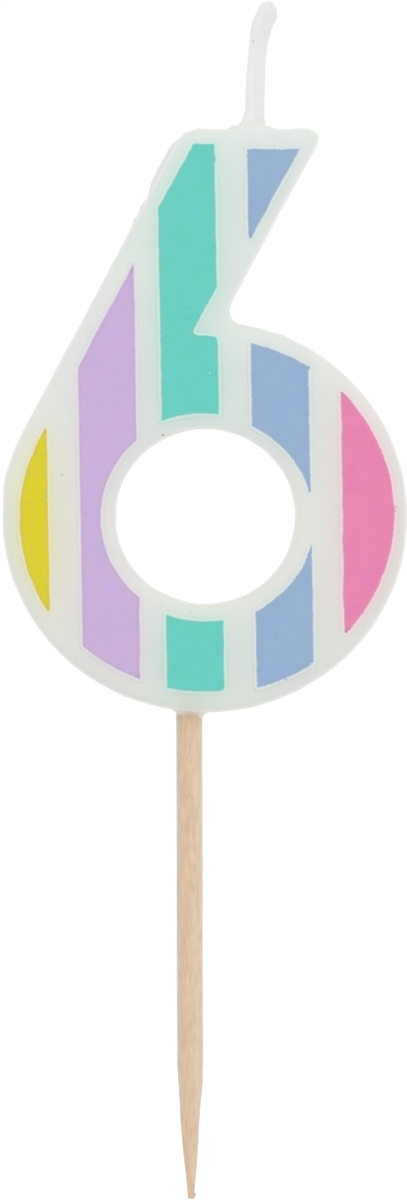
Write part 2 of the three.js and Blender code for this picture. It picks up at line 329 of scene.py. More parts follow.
def fill(loops, rings, spacing):
    """Fills closed loops: the loops, rings of points at the given insets, and a honeycomb further in. Returns
    the points, the triangles and each point's inset from the outline."""
    line = np.concatenate(loops)
    found, depth = [line], [np.zeros(len(line))]
    for inset in rings:
        for loop in loops:
            ring = loop - loop_normals(loop) * inset
            ring = ring[(gap_to(ring, line) > RING_CLEAR * inset) & inside(ring, loops)]
            found.append(ring)
            depth.append(np.full(len(ring), inset))
    low, high = line.min(0), line.max(0)
    x, z = np.meshgrid(np.arange(low[0], high[0], spacing), np.arange(low[1], high[1], spacing * ROW_RISE))
    comb = np.stack([x + (np.arange(len(x)) % 2)[:, None] * spacing / 2, z], -1).reshape(-1, 2)
    away = gap_to(comb, line)
    keep = (away > max([0.0, *rings]) + COMB_CLEAR * spacing) & inside(comb, loops)
    points = np.concatenate(found + [comb[keep]])
    out = delaunay_2d_cdt(points.tolist(), loop_edges(loops).tolist(), [], 0, 1e-7)
    assert len(out[0]) == len(points), "two points of a fill fell together"
    triangles = np.array(out[2])
    triangles = triangles[inside(points[triangles].mean(1), loops)]
    return points, triangles, np.concatenate(depth + [away[keep]])


# %% [markdown]
# ## The printed films
#
# The print is a thin film for each colour, pressed on one after the other and each a little out of line
# with the rest. Every patch is what is left of one stripe inside the printed bowl and stem and outside a
# bare border round the eye. The shapes are worked out first, because the wax under them takes on a
# little of their colour.

# %% What is printed, as yes or no for any point
PRINT_BOWL = Ellipse(2.05, 23.65, 22.8, 21.4)
BARE_EYE = Ellipse(1.975, 23.175, 13.05, 12.5)
CREEP, STRIPE_LEAN = 0.007, 0.0175
STEM_LEFT, STEM_RIGHT, STEM_TOP_Z = 2.1 / math.cos(LEFT_LEAN), 2.0 / math.cos(RIGHT_LEAN), 68.0
STRIPE_GAP, NARROW_GAP, SECOND_SHARE, FOURTH_SHORT, OVERLAP = 3.9, 3.1, 0.35, 0.5, 1.0

rim_left, rim_right = PRINT_BOWL.x - PRINT_BOWL.a, PRINT_BOWL.x + PRINT_BOWL.a
eye_left, eye_right = BARE_EYE.x - BARE_EYE.a, BARE_EYE.x + BARE_EYE.a
first = eye_left - SECOND_SHARE * (eye_left - rim_left - STRIPE_GAP)
last = eye_right - FOURTH_SHORT
wide = (last - first - NARROW_GAP - STRIPE_GAP) / 3
STRIPES = [
    (rim_left - OVERLAP, first - STRIPE_GAP),
    (first, first + wide),
    (first + wide + NARROW_GAP, last - wide - STRIPE_GAP),
    (last - wide, last),
    (last + STRIPE_GAP, rim_right + OVERLAP),
]


def in_ellipse(e, shift, x, z):
    """Negative inside an ellipse that creeps sideways with height: about the distance to its edge."""
    z = z - shift[1]
    x = x - shift[0] - (e.z - z) * CREEP
    u = np.sqrt(((x - e.x) / e.a) ** 2 + ((z - e.z) / e.b) ** 2)
    return (u - 1) * (e.a + e.b) / 2


def in_stem(shift, x, z):
    """Negative inside the printed part of the stem: the largest of the distances outside its four sides."""
    x, z = x - shift[0], z - shift[1]
    left = (left_side(z) + STEM_LEFT - x) * math.cos(LEFT_LEAN)
    right = (x - right_side(z) + STEM_RIGHT) * math.cos(RIGHT_LEAN)
    return np.maximum.reduce([left, right, z - STEM_TOP_Z, touch[1] - z])


def in_stripe(sides, x, z):
    """Negative between the two leaning sides of a stripe."""
    x = x - (PRINT_BOWL.z - z) * STRIPE_LEAN
    return np.maximum(sides[0] - x, x - sides[1])


print("stripes at the bowl's middle:", [tuple(round(float(v), 2) for v in s) for s in STRIPES])

# %% The five colours
Film = namedtuple("Film", "key colour sides bowl stem nodes")
FILMS = [
    Film("yellow", (221, 208, 54), STRIPES[0], (0.33, -0.48), None, ["print_yellow"]),
    Film("purple", (203, 176, 219), STRIPES[1], (0.37, 0.14), (0.37, 0.14), ["print_purple"]),
    Film("teal", (105, 206, 192), STRIPES[2], (-0.28, 0.2), (-0.28, 0.2),
         ["print_teal_upper", "print_teal_lower"]),
    Film("blue", (150, 177, 209), STRIPES[3], (-0.16, -0.08), (0.31, -0.4),
         ["print_blue_top", "print_blue_upper", "print_blue_lower"]),
    Film("pink", (232, 135, 178), STRIPES[4], (-0.25, 0.19), None, ["print_pink"]),
]


def linear(rgb):
    """A colour as a screen shows it, 0 to 255, turned into the even scale that light adds up in."""
    c = np.asarray(rgb, float) / 255
    return np.where(c <= 0.04045, c / 12.92, ((c + 0.055) / 1.055) ** 2.4)


def printed(film, x, z):
    """Negative where a colour is printed: in the bowl or the stem, out of the eye's border, in its stripe."""
    area = in_ellipse(PRINT_BOWL, film.bowl, x, z)
    if film.stem is not None:
        area = np.minimum(area, in_stem(film.stem, x, z))
    return np.maximum.reduce([area, -in_ellipse(BARE_EYE, film.bowl, x, z), in_stripe(film.sides, x, z)])


# %% [markdown]
# Each patch's edge is made of stretches of a few known curves. Every curve is drawn densely, and only
# the stretches where the edge of the printed area runs are kept. The stretches are then put end to end.

# %% From curves to closed patches
ON_EDGE, JOIN_GAP, LEAST_AREA = 1e-6, 0.2, 2


def film_curves(film):
    """Dense lines that a film's edges can run along: two ellipses, and the sides of stem and stripe."""
    curves = []
    for e in (PRINT_BOWL, BARE_EYE):
        line = arc_of(e, 0, 2 * math.pi)[0] + film.bowl
        line[:, 0] += (e.z + film.bowl[1] - line[:, 1]) * CREEP
        curves.append(line)
    z = np.linspace(-OVERLAP, HEIGHT + OVERLAP, DENSE)
    for side in film.sides:
        curves.append(np.stack([side + (PRINT_BOWL.z - z) * STRIPE_LEAN, z], 1))
    if film.stem is not None:
        z = np.linspace(touch[1], STEM_TOP_Z, DENSE)
        sides = [left_side(z) + STEM_LEFT, right_side(z) - STEM_RIGHT]
        curves += [np.stack([x, z], 1) + film.stem for x in sides]
        curves.append(np.linspace((sides[0][-1], z[-1]), (sides[1][-1], z[-1]), DENSE) + film.stem)
    return curves


def film_loops(film):
    """The closed edges of a film's patches, the highest first: stretches of curves, each joined to the one
    that begins nearest to where it ends."""
    stretches = []
    for line in film_curves(film):
        on_edge = np.abs(printed(film, line[:, 0], line[:, 1])) < ON_EDGE
        starts = np.flatnonzero(np.diff(np.concatenate([[0], on_edge.astype(int), [0]])))
        stretches += [line[a:b] for a, b in starts.reshape(-1, 2) if b - a > 2]
    loops = []
    while stretches:
        chain = [stretches.pop(0)]
        while stretches:
            end = chain[-1][-1]
            gaps = [min(np.linalg.norm(s[0] - end), np.linalg.norm(s[-1] - end)) for s in stretches]
            nearest = int(np.argmin(gaps))
            if gaps[nearest] > JOIN_GAP:
                break
            s = stretches.pop(nearest)
            chain.append(s if np.linalg.norm(s[0] - end) <= np.linalg.norm(s[-1] - end) else s[::-1])
        loop = np.concatenate(chain)
        x, z = loop.T
        area = (x * np.roll(z, -1) - np.roll(x, -1) * z).sum() / 2
        if abs(area) > LEAST_AREA:
            loops.append(loop if area > 0 else loop[::-1])
    return sorted(loops, key=lambda p: -p[:, 1].max())


film_edges = {film.key: film_loops(film) for film in FILMS}
for key, loops in film_edges.items():
    print(key, [("%.1f to %.1f high" % (p[:, 1].min(), p[:, 1].max()), len(p)) for p in loops])

# %% [markdown]
# ## The skin of the wax
#
# The faces of a cast candle are never dead flat: the wax sinks a few hundredths of a millimetre where it
# cools last. The films lie on that skin, so one function gives its depth to both.

# %% The front and back skin
hollow_front, hollow_back = waves(11, 7, 22), waves(12, 8, 26)


def front_skin(x, z, gap):
    """Y of the front face: it dips by up to 0.06 mm in lazy waves, and not at all beside its edge."""
    return FRONT + 0.03 * (1 + np.tanh(hollow_front(x, z))) * smooth_step(0.0, 2.5, gap)


def back_skin(x, z, gap):
    """Y of the back face: it sinks by up to 0.16 mm towards the middle of the wax, with lazy waves on top."""
    sunk = 0.1 + 0.06 * np.tanh(hollow_back(x, z))
    return BACK - sunk * smooth_step(0.0, 4.0, gap)


# %% [markdown]
# ## Tints in the wax
#
# Light wanders about in wax before it comes out again, so the wax beside a film borrows some of its colour.
# How much depends on how much film lies near, and how near: beside a wide patch the wax is tinted far out,
# and past the tip of a patch hardly at all. Blurring a map of each colour gives just that. A blur is a sum
# over all places, which turns into a plain product once map and blur are both taken apart into waves.

# %% A blurred map of each colour
REACH, CELL = 1.5, 0.25
map_x, map_z = np.arange(-30, 34, CELL), np.arange(-8, 78, CELL)
grid_x, grid_z = np.meshgrid(map_x, map_z)


def blurred(patches, reach):
    """A map that is 1 in some patches and 0 in the rest, spread out by a blur that falls by a factor e for
    each reach of distance."""
    rows, columns = (np.minimum(np.arange(n), n - np.arange(n)) for n in grid_x.shape)
    blur = np.exp(-np.hypot(rows[:, None], columns[None]) * CELL / reach)
    return np.fft.irfft2(np.fft.rfft2(patches) * np.fft.rfft2(blur / blur.sum()), grid_x.shape)


def fall(patches, reach):
    """How fast a blurred map falls on the way up, for each reach: above 0 under an edge that faces up, and
    below 0 over one that faces down."""
    return -np.gradient(blurred(patches, reach), CELL, axis=0) * reach


def read_map(values, x, z):
    """A map at any place: the values of the four cells round it, each weighed by how near it is."""
    column, row = (x - map_x[0]) / CELL, (z - map_z[0]) / CELL
    i, j = row.astype(int), column.astype(int)
    u, v = row - i, column - j
    low = values[i, j] * (1 - v) + values[i, j + 1] * v
    high = values[i + 1, j] * (1 - v) + values[i + 1, j + 1] * v
    return low * (1 - u) + high * u


def in_wax(x, z):
    """True in the bowl or in the stem, and not in the eye."""
    bowl, eye = (((x - e.x) / e.a) ** 2 + ((z - e.z) / e.b) ** 2 < 1 for e in (BOWL, EYE))
    stem = (z > touch[1]) & (z < HEIGHT) & (x > left_side(z)) & (x < right_side(z))
    return (bowl | stem) & ~eye


film_patches = {film.key: printed(film, grid_x, grid_z) < 0 for film in FILMS}
film_maps = {key: blurred(patches, REACH) for key, patches in film_patches.items()}
wax_fall = fall(in_wax(grid_x, grid_z), 2.5)
film_fall = fall(np.logical_or.reduce(list(film_patches.values())), 2.0)
teal_share = read_map(film_maps["teal"], np.array([0.0]), np.array([50.0]))[0]
print("share of teal at its own middle: %.2f" % teal_share)

# %% [markdown]
# The wax is also painted a little whiter towards the top and warmer low down, a painted gradient of light
# from above, and where it is thin over the pick it shows the wood. Most light comes from above, and its
# light and shade are painted too: wax under an edge that faces up is a little lighter, and so is wax over
# a film, while wax over an edge that faces down, or under a film that keeps the light off, is a little
# darker. All these tints depend on place alone, so they are worked out once for each point of a mesh and
# kept there.

# %% The wax's colour at any point
# Painted light: the wax's white runs from warmer low down to whiter high up.
WAX_LOW, WAX_HIGH = linear((229, 228, 221)), linear((227, 232, 227))
WOOD_TINT = linear((212, 174, 136))
BORROW = {"yellow": 0.8, "purple": 0.47, "teal": 0.64, "blue": 0.4, "pink": 0.48}
GLOW = 1.05
# How much each colour gains from the painted light and shade from above, over the wax's edges and over the
# films.
WAX_LIT, FILM_LIT = np.array([0.175, 0.065, 0.07]), np.array([0.011, 0.105, 0.083])


def wood_share(x, z):
    """How much of the wood shows through the wax at the pick: none from 0.4 mm above the wax's lowest
    line, all of it 0.5 mm below, less towards its sides, which makes an arch, and none beside the pick. Less
    of it shows towards the right."""
    arch = smooth_step(0.4, -0.5, z + 0.35 * (x / 1.3) ** 2)
    return arch * smooth_step(-1.75, -1.25, x) * smooth_step(1.55, 0.85, x)


def wax_tint(points):
    """White, warmer low down and whiter high up, a painted gradient of light from above, pulled towards each
    ink by its share in the blurred map. The pull falls by a factor e for each REACH below the front face.
    Then come the painted light and shade from above, but not beside the pick, which carries light of its
    own, the share of the wood at the pick, and a trace of it over its socket."""
    x, y, z = points.T
    white = WAX_LOW + (WAX_HIGH - WAX_LOW) * np.clip(z / HEIGHT, 0, 1)[:, None]
    colour = white.copy()
    for film in FILMS:
        share = BORROW[film.key] * read_map(film_maps[film.key], x, z) * np.exp((FRONT - y) / REACH)
        colour += share[:, None] * (linear(film.colour) * GLOW - white)
    beside_pick = smooth_step(3.0, 1.5, np.abs(x)) * smooth_step(0.6, 0.0, z)
    lit = (read_map(wax_fall, x, z) * (1 - beside_pick))[:, None] * WAX_LIT
    colour *= 1 + lit + read_map(film_fall, x, z)[:, None] * FILM_LIT
    socket = (0.05 + 0.05 * smooth_step(3.5, 1.5, z)) * smooth_step(2.0, 1.0, np.abs(x))
    socket = socket * smooth_step(11.6, 10.5, z) * (y < 0)
    wood = np.maximum(wood_share(x, z), socket)
    return colour + wood[:, None] * (WOOD_TINT - colour)


print("wax between teal and blue:", wax_tint(np.array([[5.0, FRONT, 60.0]])).round(3))

# %% [markdown]
# ## The films as pieces
#
# A transfer film has a thin white base that reaches a little past the colour. It has taken up some of the
# ink, and shows as a pale halo round it that thins away into the wax. The edge is torn rather than cut, so
# small waves push it in and out, and here and there a scrap of film stands out further. The edge lies a
# little below the skin of the wax, and the film's face stands a hair above it, a soft small step that
# catches the light. Ink dries a little duller towards its own edge.

# %% Torn edges
FILM_THICK, MARGIN, FILM_STEP, INK_STEP = 0.035, 0.44, 0.12, 0.08
EDGE_BELOW, BACK_BELOW = 0.01, 0.03
# For each colour, the place of a scrap, how far the film stands out there, and over what width.
SCRAPS = {
    "purple": [(-10.7, 46.2, 0.08, 4.0), (-6.66, 48.9, 0.11, 0.8), (-5.95, 5.3, -0.12, 1.6),
               (-6.05, 11.4, -0.1, 0.7)],
    "teal": [(0.75, 68.1, 0.16, 0.3), (-0.5, 66.6, -0.19, 1.3), (0.2, 67.8, -0.2, 0.4),
             (3.0, 66.5, 0.16, 0.45), (3.2, 60.6, 0.05, 1.2), (-2.1, 64.0, -0.09, 2.5),
             (3.2, 45.25, -0.16, 0.6), (4.1, 2.7, -0.1, 0.4), (-3.2, 61.7, -0.08, 0.4)],
    "blue": [(11.6, 4.05, 0.22, 0.18), (14.4, 9.4, -0.15, 0.2), (14.45, 7.6, -0.12, 0.16),
             (11.0, 62.0, -0.06, 3.0), (12.0, 42.7, 0.13, 0.2), (11.4, 43.0, 0.09, 0.12),
             (12.6, 42.4, 0.12, 0.25), (14.35, 41.3, 0.27, 0.32), (9.2, 12.75, 0.1, 0.3),
             (12.9, 16.4, 0.1, 0.4), (10.9, 67.6, -0.08, 0.5), (14.75, 5.85, -0.1, 0.3),
             (10.6, 13.9, 0.14, 2.0)],
    "pink": [(24.6, 24.3, 0.22, 0.16), (18.3, 34.6, -0.08, 1.4), (18.55, 14.0, 0.14, 1.9),
             (18.48, 20.3, 0.07, 1.6), (23.15, 16.2, -0.1, 0.5)],
    "yellow": [(-18.9, 31.0, -0.1, 0.4), (-20.4, 23.1, -0.09, 0.6), (-20.25, 20.8, -0.07, 0.4)],
}
# The place of each sharp tip, how much of it broke off, and how worn it is.
TIPS = np.array([
    (-6.75, 53.74, 0.0, 0.9), (7.08, 56.36, 0.57, 1.1), (14.48, 26.03, 0.34, 1.5), (14.58, 20.39, 0.3, 1.4),
    (-17.18, 34.28, 0.28, 0.45), (-16.79, 11.72, 0.5, 0.5), (18.18, 38.63, 0.2, 0.5),
    (18.68, 9.36, 0.19, 0.6),
])
# Ink that strayed onto the margin, how far each ink's edge strays, and how dull it dried beside its edge,
# with how much more painted shade on the edges that lie in their own shade.
FLECKS = np.array([(24.66, 24.65), (24.58, 24.17), (11.55, 3.98), (-6.22, 4.3)])
RAGGED = {"yellow": 0.012, "purple": 0.008, "teal": 0.01, "blue": 0.02, "pink": 0.018}
DRY = {"yellow": (1.2, 0.1), "purple": (1.2, 0.1), "teal": (1.2, 0.1), "blue": (1.2, 0.1), "pink": (1.6, 0.6)}
# How far a patch slid as it was pressed on.
SLIPS = {
    "print_teal_upper": (-0.025, -0.01),
    "print_teal_lower": (0.065, 0.03),
    "print_blue_lower": (0.06, 0.02),
    "print_blue_upper": (0.02, -0.02),
    "print_pink": (-0.05, -0.01),
}


def torn(loop, key, slip, seed):
    """Even steps along a film's edge, with its sharp tips broken off, slid by its slip. Each point moves out
    along the normal by the margin, plus two sets of waves, plus the scraps near it. In a notch, points that
    would cross are left out."""
    broken = np.hypot(*(loop[:, None] - TIPS[:, :2]).T) < TIPS[:, 2:3]
    loop = loop[~broken.any(0)] + slip
    points = walk(loop, FILM_STEP)
    s = np.arange(len(points)) * FILM_STEP
    out = MARGIN + 0.011 * waves(seed, 0.35, 0.9)(s) + 0.014 * waves(seed + 1, 1.5, 6)(s)
    for x, z, reach, width in SCRAPS[key]:
        out += reach * bump_at(np.hypot(points[:, 0] - x, points[:, 1] - z), width)
    moved = points + loop_normals(points) * out[:, None]
    return moved[gap_to(moved, loop) > 0.96 * np.abs(out) - 0.01]


# %% Making the films
HALO = {"yellow": (239, 228, 172), "purple": (230, 217, 235), "teal": (194, 238, 230),
        "blue": (214, 229, 238), "pink": (251, 210, 224)}
FILM_RINGS = [0.03, 0.1, 0.19, MARGIN - INK_STEP, MARGIN, MARGIN + INK_STEP, MARGIN + 0.2, MARGIN + 0.42]
FILM_CELL, WAX_CELL = 0.5, 0.48
wax_edges = np.concatenate([rim_points, ring_points])


def make_film(name, film, loop, seed):
    """A closed thin sheet. Its face is the filled shape, FILM_THICK above the skin, its back the same shape
    just under the skin, and both share the edge. ink is 0 on the margin and 1 on the colour, the ink's dull
    edge swells inwards of its edge in patches, worn is about 1 at a tip, and base is the margin's colour: wax
    outside, its halo, which is a little uneven, beside the ink. The ink's edge is ragged, with a few flecks
    outside it. Edges that face down or left are in their own shade, where the film's map rises to the upper
    right: there the halo is painted fainter and the ink duller, as painted shade."""
    edge = torn(loop, film.key, SLIPS.get(name, (0.0, 0.0)), seed)
    flat, triangles, inset = fill([edge], FILM_RINGS, FILM_CELL)
    skin = front_skin(*flat.T, gap_to(flat, wax_edges) - EDGE)
    face = np.stack([flat[:, 0], skin - np.where(inset > 0, FILM_THICK, -EDGE_BELOW), flat[:, 1]], 1)
    under = face.copy()
    under[:, 1] = skin + BACK_BELOW
    inner = inset > 0
    number = np.where(inner, np.cumsum(inner) - 1 + len(flat), np.arange(len(flat)))
    points = np.concatenate([face, under[inner]])
    inset = np.concatenate([inset, inset[inner]])
    x, z = points[:, 0], points[:, 2]
    ink_map = film_maps[film.key]
    rise = read_map(ink_map, x + 0.2, z + 0.2) - read_map(ink_map, x - 0.2, z - 0.2)
    shade = np.clip(rise / 0.1, -1.0, 1.0)
    # Painted shade: edges that face down or left get less halo and duller ink.
    uneven_and_shaded = 0.86 + 0.14 * waves(seed + 5, 0.5, 3.0)(x, z) - 0.14 * shade
    near_ink = (smooth_step(0.0, 0.8 * MARGIN, inset) * np.clip(uneven_and_shaded, 0.4, 1.05))[:, None]
    dry, side = DRY[film.key]
    patchy_and_shaded = np.clip(dry + 0.4 * waves(seed + 6, 0.4, 1.5)(x, z), 0.3, 2.2) + side * shade
    fleck = bump_at(gap_to(points[:, [0, 2]], FLECKS), 0.16)
    strayed = inset + RAGGED[film.key] * waves(seed + 7, 0.25, 0.7)(x, z)
    ink = smooth_step(MARGIN - INK_STEP, MARGIN + INK_STEP, strayed)
    from_tips = np.hypot(x[:, None] - TIPS[:, 0], z[:, None] - TIPS[:, 1])
    worn = (TIPS[:, 3] * bump_at(from_tips, 0.8)).max(1).clip(0, 1.1)
    return add_piece(
        name + "_film",
        points,
        np.concatenate([triangles, number[triangles[:, ::-1]]]),
        [name],
        colours={"base": wax_tint(points) * (1 - near_ink) + linear(HALO[film.key]) * near_ink},
        values={
            "ink": np.maximum(ink, 0.9 * fleck * (inset > 0)),
            "dried_and_shaded": smooth_step(MARGIN + 0.5, MARGIN + 0.05, inset) * patchy_and_shaded,
            "worn": np.maximum(worn, 0.55 * fleck),
        },
    )


film_pieces = []
for number, film in enumerate(FILMS):
    for name, loop in zip(film.nodes, film_edges[film.key]):
        piece = make_film(name, film, loop, 100 + 10 * number + len(film_pieces))
        film_pieces.append((piece, film))

# %% [markdown]
# ## The wax body
#
# The rim of the casting is one profile carried round the outline, and another round the eye: a quarter
# circle over the front edge, straight across the thickness, and a quarter circle over the back edge. On
# that plain rim the marks of the making are added as small moves: the line where the two halves of the
# mould met, a burr of wax that squeezed out at the top left, a few nibs, the mound where wax crept up the
# wick, and the collar where it crept down the pick.

# %% The rim's profile
across = np.array([0.06, 0.13, 0.22, 0.34, 0.5, 0.7, 0.9, 1.1, 1.3, 1.5, 1.7, 1.9, 2.15, 2.45, 2.8, 3.15])
quarter = np.linspace(0, math.pi / 2, 7)
bend_inset, bend_depth = EDGE * (1 - np.sin(quarter)), EDGE * (1 - np.cos(quarter))
profile_inset = np.concatenate([bend_inset, np.zeros(2 * len(across) + 1), bend_inset[::-1]])
profile_depth = np.concatenate([FRONT + bend_depth, -across[::-1], [0.0], across, BACK - bend_depth[::-1]])
ROWS = len(profile_depth)
parting = waves(21, 2, 9)
drift = waves(22, 6, 25)
ragged = waves(23, 0.5, 1.6)

BURR_FROM = [57.3, 58.7, 59.2, 60.0, 60.5, 61.2, 61.6, 62.1, 62.8, 63.1, 63.6, 64.1, 67.7, 68.2, 68.8, 69.4]
BURR_HIGH = [0.0, 0.04, 0.19, 0.08, 0.18, 0.18, 0.02, 0.04, 0.25, 0.27, 0.41, 0.48, 0.48, 0.4, 0.1, 0.0]
# The place, height and width of each nib.
NIBS = [
    (1.0, 70.2, 0.34, 0.26), (1.9, 70.0, 0.1, 0.6), (13.1, 70.0, 0.16, 0.7), (14.1, 70.0, 0.16, 0.5),
    (11.2, 45.3, 0.28, 0.28), (5.5, 47.0, 0.14, 0.22), (-0.45, 69.6, 0.15, 0.5), (3.2, 70.0, 0.05, 1.2),
    (12.4, 70.0, 0.03, 1.6), (15.45, 69.4, 0.24, 0.4), (4.7, 48.0, 0.13, 1.3),
]
MOUND_HIGH, COLLAR_DEEP, COLLAR_FALL = 0.52, 0.8, 0.28


def burr_height(x, z):
    """How far the burr stands out: read from its table by height along the left side, and a little ragged."""
    along = z + (x - left_side(z))
    tall = np.interp(along, BURR_FROM, BURR_HIGH)
    return tall * ((z > 50) & (x < left_side(z) + 3.2)) * (1 + 0.03 * ragged(x, z))


def rim_relief(x, y, z):
    """How far each point of the rim stands out along its normal: a low ridge on the parting line, the burr,
    the nibs, a swelling on the bowl's left, a slow drift inwards, a fuller right side and lower eye, and an
    upper eye that is cut a hair wider."""
    out = 0.03 * bump_at(y, 0.11) * (1 + 0.5 * parting(x, z)) + 0.03 * (np.tanh(drift(x, z)) - 1)
    out += burr_height(x, z) * (0.65 * bump_at(y, 0.28) + 0.35 * bump_at(y, 0.8))
    for nib_x, nib_z, height, width in NIBS:
        out += height * bump_at(np.hypot(x - nib_x, z - nib_z), width) * bump_at(y, 0.5)
    in_eye = np.hypot(x - EYE.x, z - EYE.z) < 12
    fuller = 0.06 * smooth_step(2.0, 8.0, x) * smooth_step(26.0, 25.2, x) * smooth_step(56.0, 48.0, z)
    eye_lower_fuller = 0.05 * smooth_step(26.0, 20.0, z) - 0.035 * smooth_step(28.0, 32.0, z)
    out += np.where(in_eye, eye_lower_fuller, fuller)
    sunk = 0.03 * smooth_step(59.0, 57.5, z) + 0.03 * smooth_step(54.5, 52.5, z)
    out -= sunk * smooth_step(43.0, 46.0, z) * (x < left_side(z) + 2)
    return out + 0.14 * bump_at(z - 28.3, 2.6) * (x < -18)


def at_mouth(x, z):
    """True on the top of the stem round the wick."""
    return (z > 69) & (np.abs(x - MOUTH) < 4.5)


def mound(x, y):
    """Wax round the foot of the wick, by distance from its middle: a shelf that drops at the left, a slope
    at the right, and between them a share of both."""
    away = np.hypot(x - MOUTH, y) + 1e-9
    left = 0.5 * (1 - (x - MOUTH) / away)
    shelf, slope = 1 - smooth_step(2.45, 3.5, away), 1 - smooth_step(1.4, 3.05, away)
    return MOUND_HIGH * (left * shelf + (1 - left) * slope)


def collar(x, y):
    """Wax drawn down the pick: COLLAR_DEEP at the wood, less by a factor e for each COLLAR_FALL outwards."""
    return COLLAR_DEEP * np.exp(-(np.maximum(np.hypot(x, y), PICK_RADIUS) - PICK_RADIUS) / COLLAR_FALL)


# %% Carrying the profile
def carry(line, normals):
    """A grid: at each point of the line, the profile stands in the plane of the normal and of Y."""
    x = line[:, :1] - normals[:, :1] * profile_inset
    z = line[:, 1:] - normals[:, 1:] * profile_inset
    y = np.broadcast_to(profile_depth, x.shape)
    out = rim_relief(x, y, z)
    flat = profile_inset < 1e-9
    up = mound(x, y) * at_mouth(x, z) * flat
    down = collar(x, y) * ((z < 2) & (np.abs(x) < 4)) * flat
    return np.stack([x + normals[:, :1] * out, y, z + normals[:, 1:] * out + up - down], -1)


outer_rim = carry(rim_points, rim_out)
inner_rim = carry(ring_points, ring_out)
print("rim grids:", outer_rim.shape, inner_rim.shape)

# %% Faces, and the body put together
front_loops = [rim[:, 0][:, [0, 2]] for rim in (outer_rim, inner_rim)]
flat, face_triangles, inset = fill(front_loops, [0.22], WAX_CELL)
edge_count = len(rim_points) + len(ring_points)
inner_x, inner_z = flat[edge_count:].T
front_face, back_face = (np.stack([inner_x, skin(inner_x, inner_z, inset[edge_count:]), inner_z], 1)
                         for skin in (front_skin, back_skin))

outer_count, inner_count = len(rim_points) * ROWS, len(ring_points) * ROWS
starts = np.concatenate([np.arange(len(rim_points)) * ROWS, outer_count + np.arange(len(ring_points)) * ROWS])
inner_from = outer_count + inner_count
inner_number = inner_from + np.arange(len(inner_x))
front_number = np.concatenate([starts, inner_number])
back_number = np.concatenate([starts + ROWS - 1, inner_number + len(inner_x)])
body_points = np.concatenate([outer_rim.reshape(-1, 3), inner_rim.reshape(-1, 3), front_face, back_face])
body_triangles = np.concatenate([
    grid_triangles(len(rim_points), ROWS),
    grid_triangles(len(ring_points), ROWS, first=outer_count),
    front_number[face_triangles],
    back_number[face_triangles[:, ::-1]],
])
print("front face: %d triangles" % len(face_triangles))

# %% [markdown]
# One more value goes with the body's mesh, and it is painted light: it paints the wax paler where it is so
# thin that light gets through: all over the burr, along the last half millimetre of the rounded edges but
# less so over the wood, on the mound round the wick and on the fillets beside the pick. Less of it is
# painted on an edge that faces the lamp, up and to the right, which is bright already, and round the eye
# more is painted on an edge that faces away from it.

# %% The body, with its tint and its painted light on thin places
# Painted light at the rim: how pale the wax is painted by inset from the edge, and how much of that is taken
# back where the edge faces the lamp.
PALE_INSET = [0.0, 0.12, 0.18, 0.24, 0.3, 0.36, 0.48, 0.6, 0.8, 1.0]
PALE_SHARE = [1.0, 0.84, 0.61, 0.42, 0.28, 0.19, 0.11, 0.06, 0.01, 0.0]
LIT_SHARE = [1.0, 1.0, 1.0, 0.87, 0.75, 0.7, 0.62, 0.45, 0.15, 0.0]


def edge_pale(normals, towards, away):
    """The share of painted light along a rim: a table by inset, less another table times the way the edge
    faces, which counts by one weight where it faces towards the lamp and by another where it faces away."""
    faces = normals @ (0.55, 0.85)
    lit = faces * np.where(faces > 0, towards, away)
    share, less = (np.interp(profile_inset, PALE_INSET, table) for table in (PALE_SHARE, LIT_SHARE))
    return np.clip(share - lit[:, None] * less, 0.0, 1.0) * smooth_step(2.4, 3.4, np.abs(profile_depth))


burr_pale = smooth_step(0.04, 0.3, burr_height(*rim_points.T))[:, None] * bump_at(profile_depth, 0.45)
rim_x, rim_y, rim_z = np.moveaxis(outer_rim, -1, 0)
mound_pale = mound(rim_x, rim_y) / MOUND_HIGH * at_mouth(rim_x, rim_z)
beside = np.hypot(rim_x, rim_y)
fillet_pale = collar(rim_x, rim_y) / COLLAR_DEEP * smooth_step(1.4, 1.75, beside) * (rim_z < 2) * (beside < 4)
beside_pick = smooth_step(2.8, 1.5, np.abs(rim_points[:, :1])) * (rim_points[:, 1:] < 2)
edges_pale = edge_pale(rim_out, 0.42, 0.0) * (1 - 0.4 * beside_pick)
# Painted light: the largest of the painted paleness of the edges, the burr, the mound and the fillets.
painted_pale = np.maximum.reduce([edges_pale, 0.8 * burr_pale, 0.6 * mound_pale, 0.45 * fillet_pale])
thin_glow = np.zeros(len(body_points))
thin_glow[:outer_count] = painted_pale.ravel()
thin_glow[outer_count:inner_from] = edge_pale(ring_out, 0.2, 0.25).ravel()
body = add_piece("wax_body_cast", body_points, body_triangles, ["wax_body"],
                 colours={"tint": wax_tint(body_points)}, values={"thin_glow": thin_glow})

# %% [markdown]
# ## The wick
#
# A birthday candle's wick is a cotton cord drawn through molten wax, which leaves it stiff. It is cast into
# the numeral and stands out at the top, leaning over near its end, where it was cut off and rounded over.
# Its route is a smooth curve through a few points, as in the CAD model but for a hair more bend at the tip,
# and a round section is carried along it. The coat swells where it runs into the mound, and by the cut.

# %% The wick's route
MIDDLE = Ellipse((BOWL.x + EYE.x) / 2, BOWL.z, (BOWL.a + EYE.a) / 2, (BOWL.b + EYE.b) / 2)
turn = np.linspace(math.pi, touch_angle, 4)
route_round = np.stack([MIDDLE.x + MIDDLE.a * np.cos(turn), MIDDLE.z + MIDDLE.b * np.sin(turn)], 1)
stem_z = touch[1] + (HEIGHT - touch[1]) * np.array([0.25, 0.5, 0.75])
route_stem = np.stack([(left_side(stem_z) + right_side(stem_z)) / 2, stem_z], 1)
FREE_WICK = [(0, 0), (0.12, 3.6), (0.28, 7.6), (0.58, 10.6), (1.1, 12.8), (2.03, 15.15)]
BEND_FROM, BEND_MORE = 82.2, 0.01
route_knots = np.concatenate([route_round, route_stem, np.array(FREE_WICK) + (MOUTH, HEIGHT)])


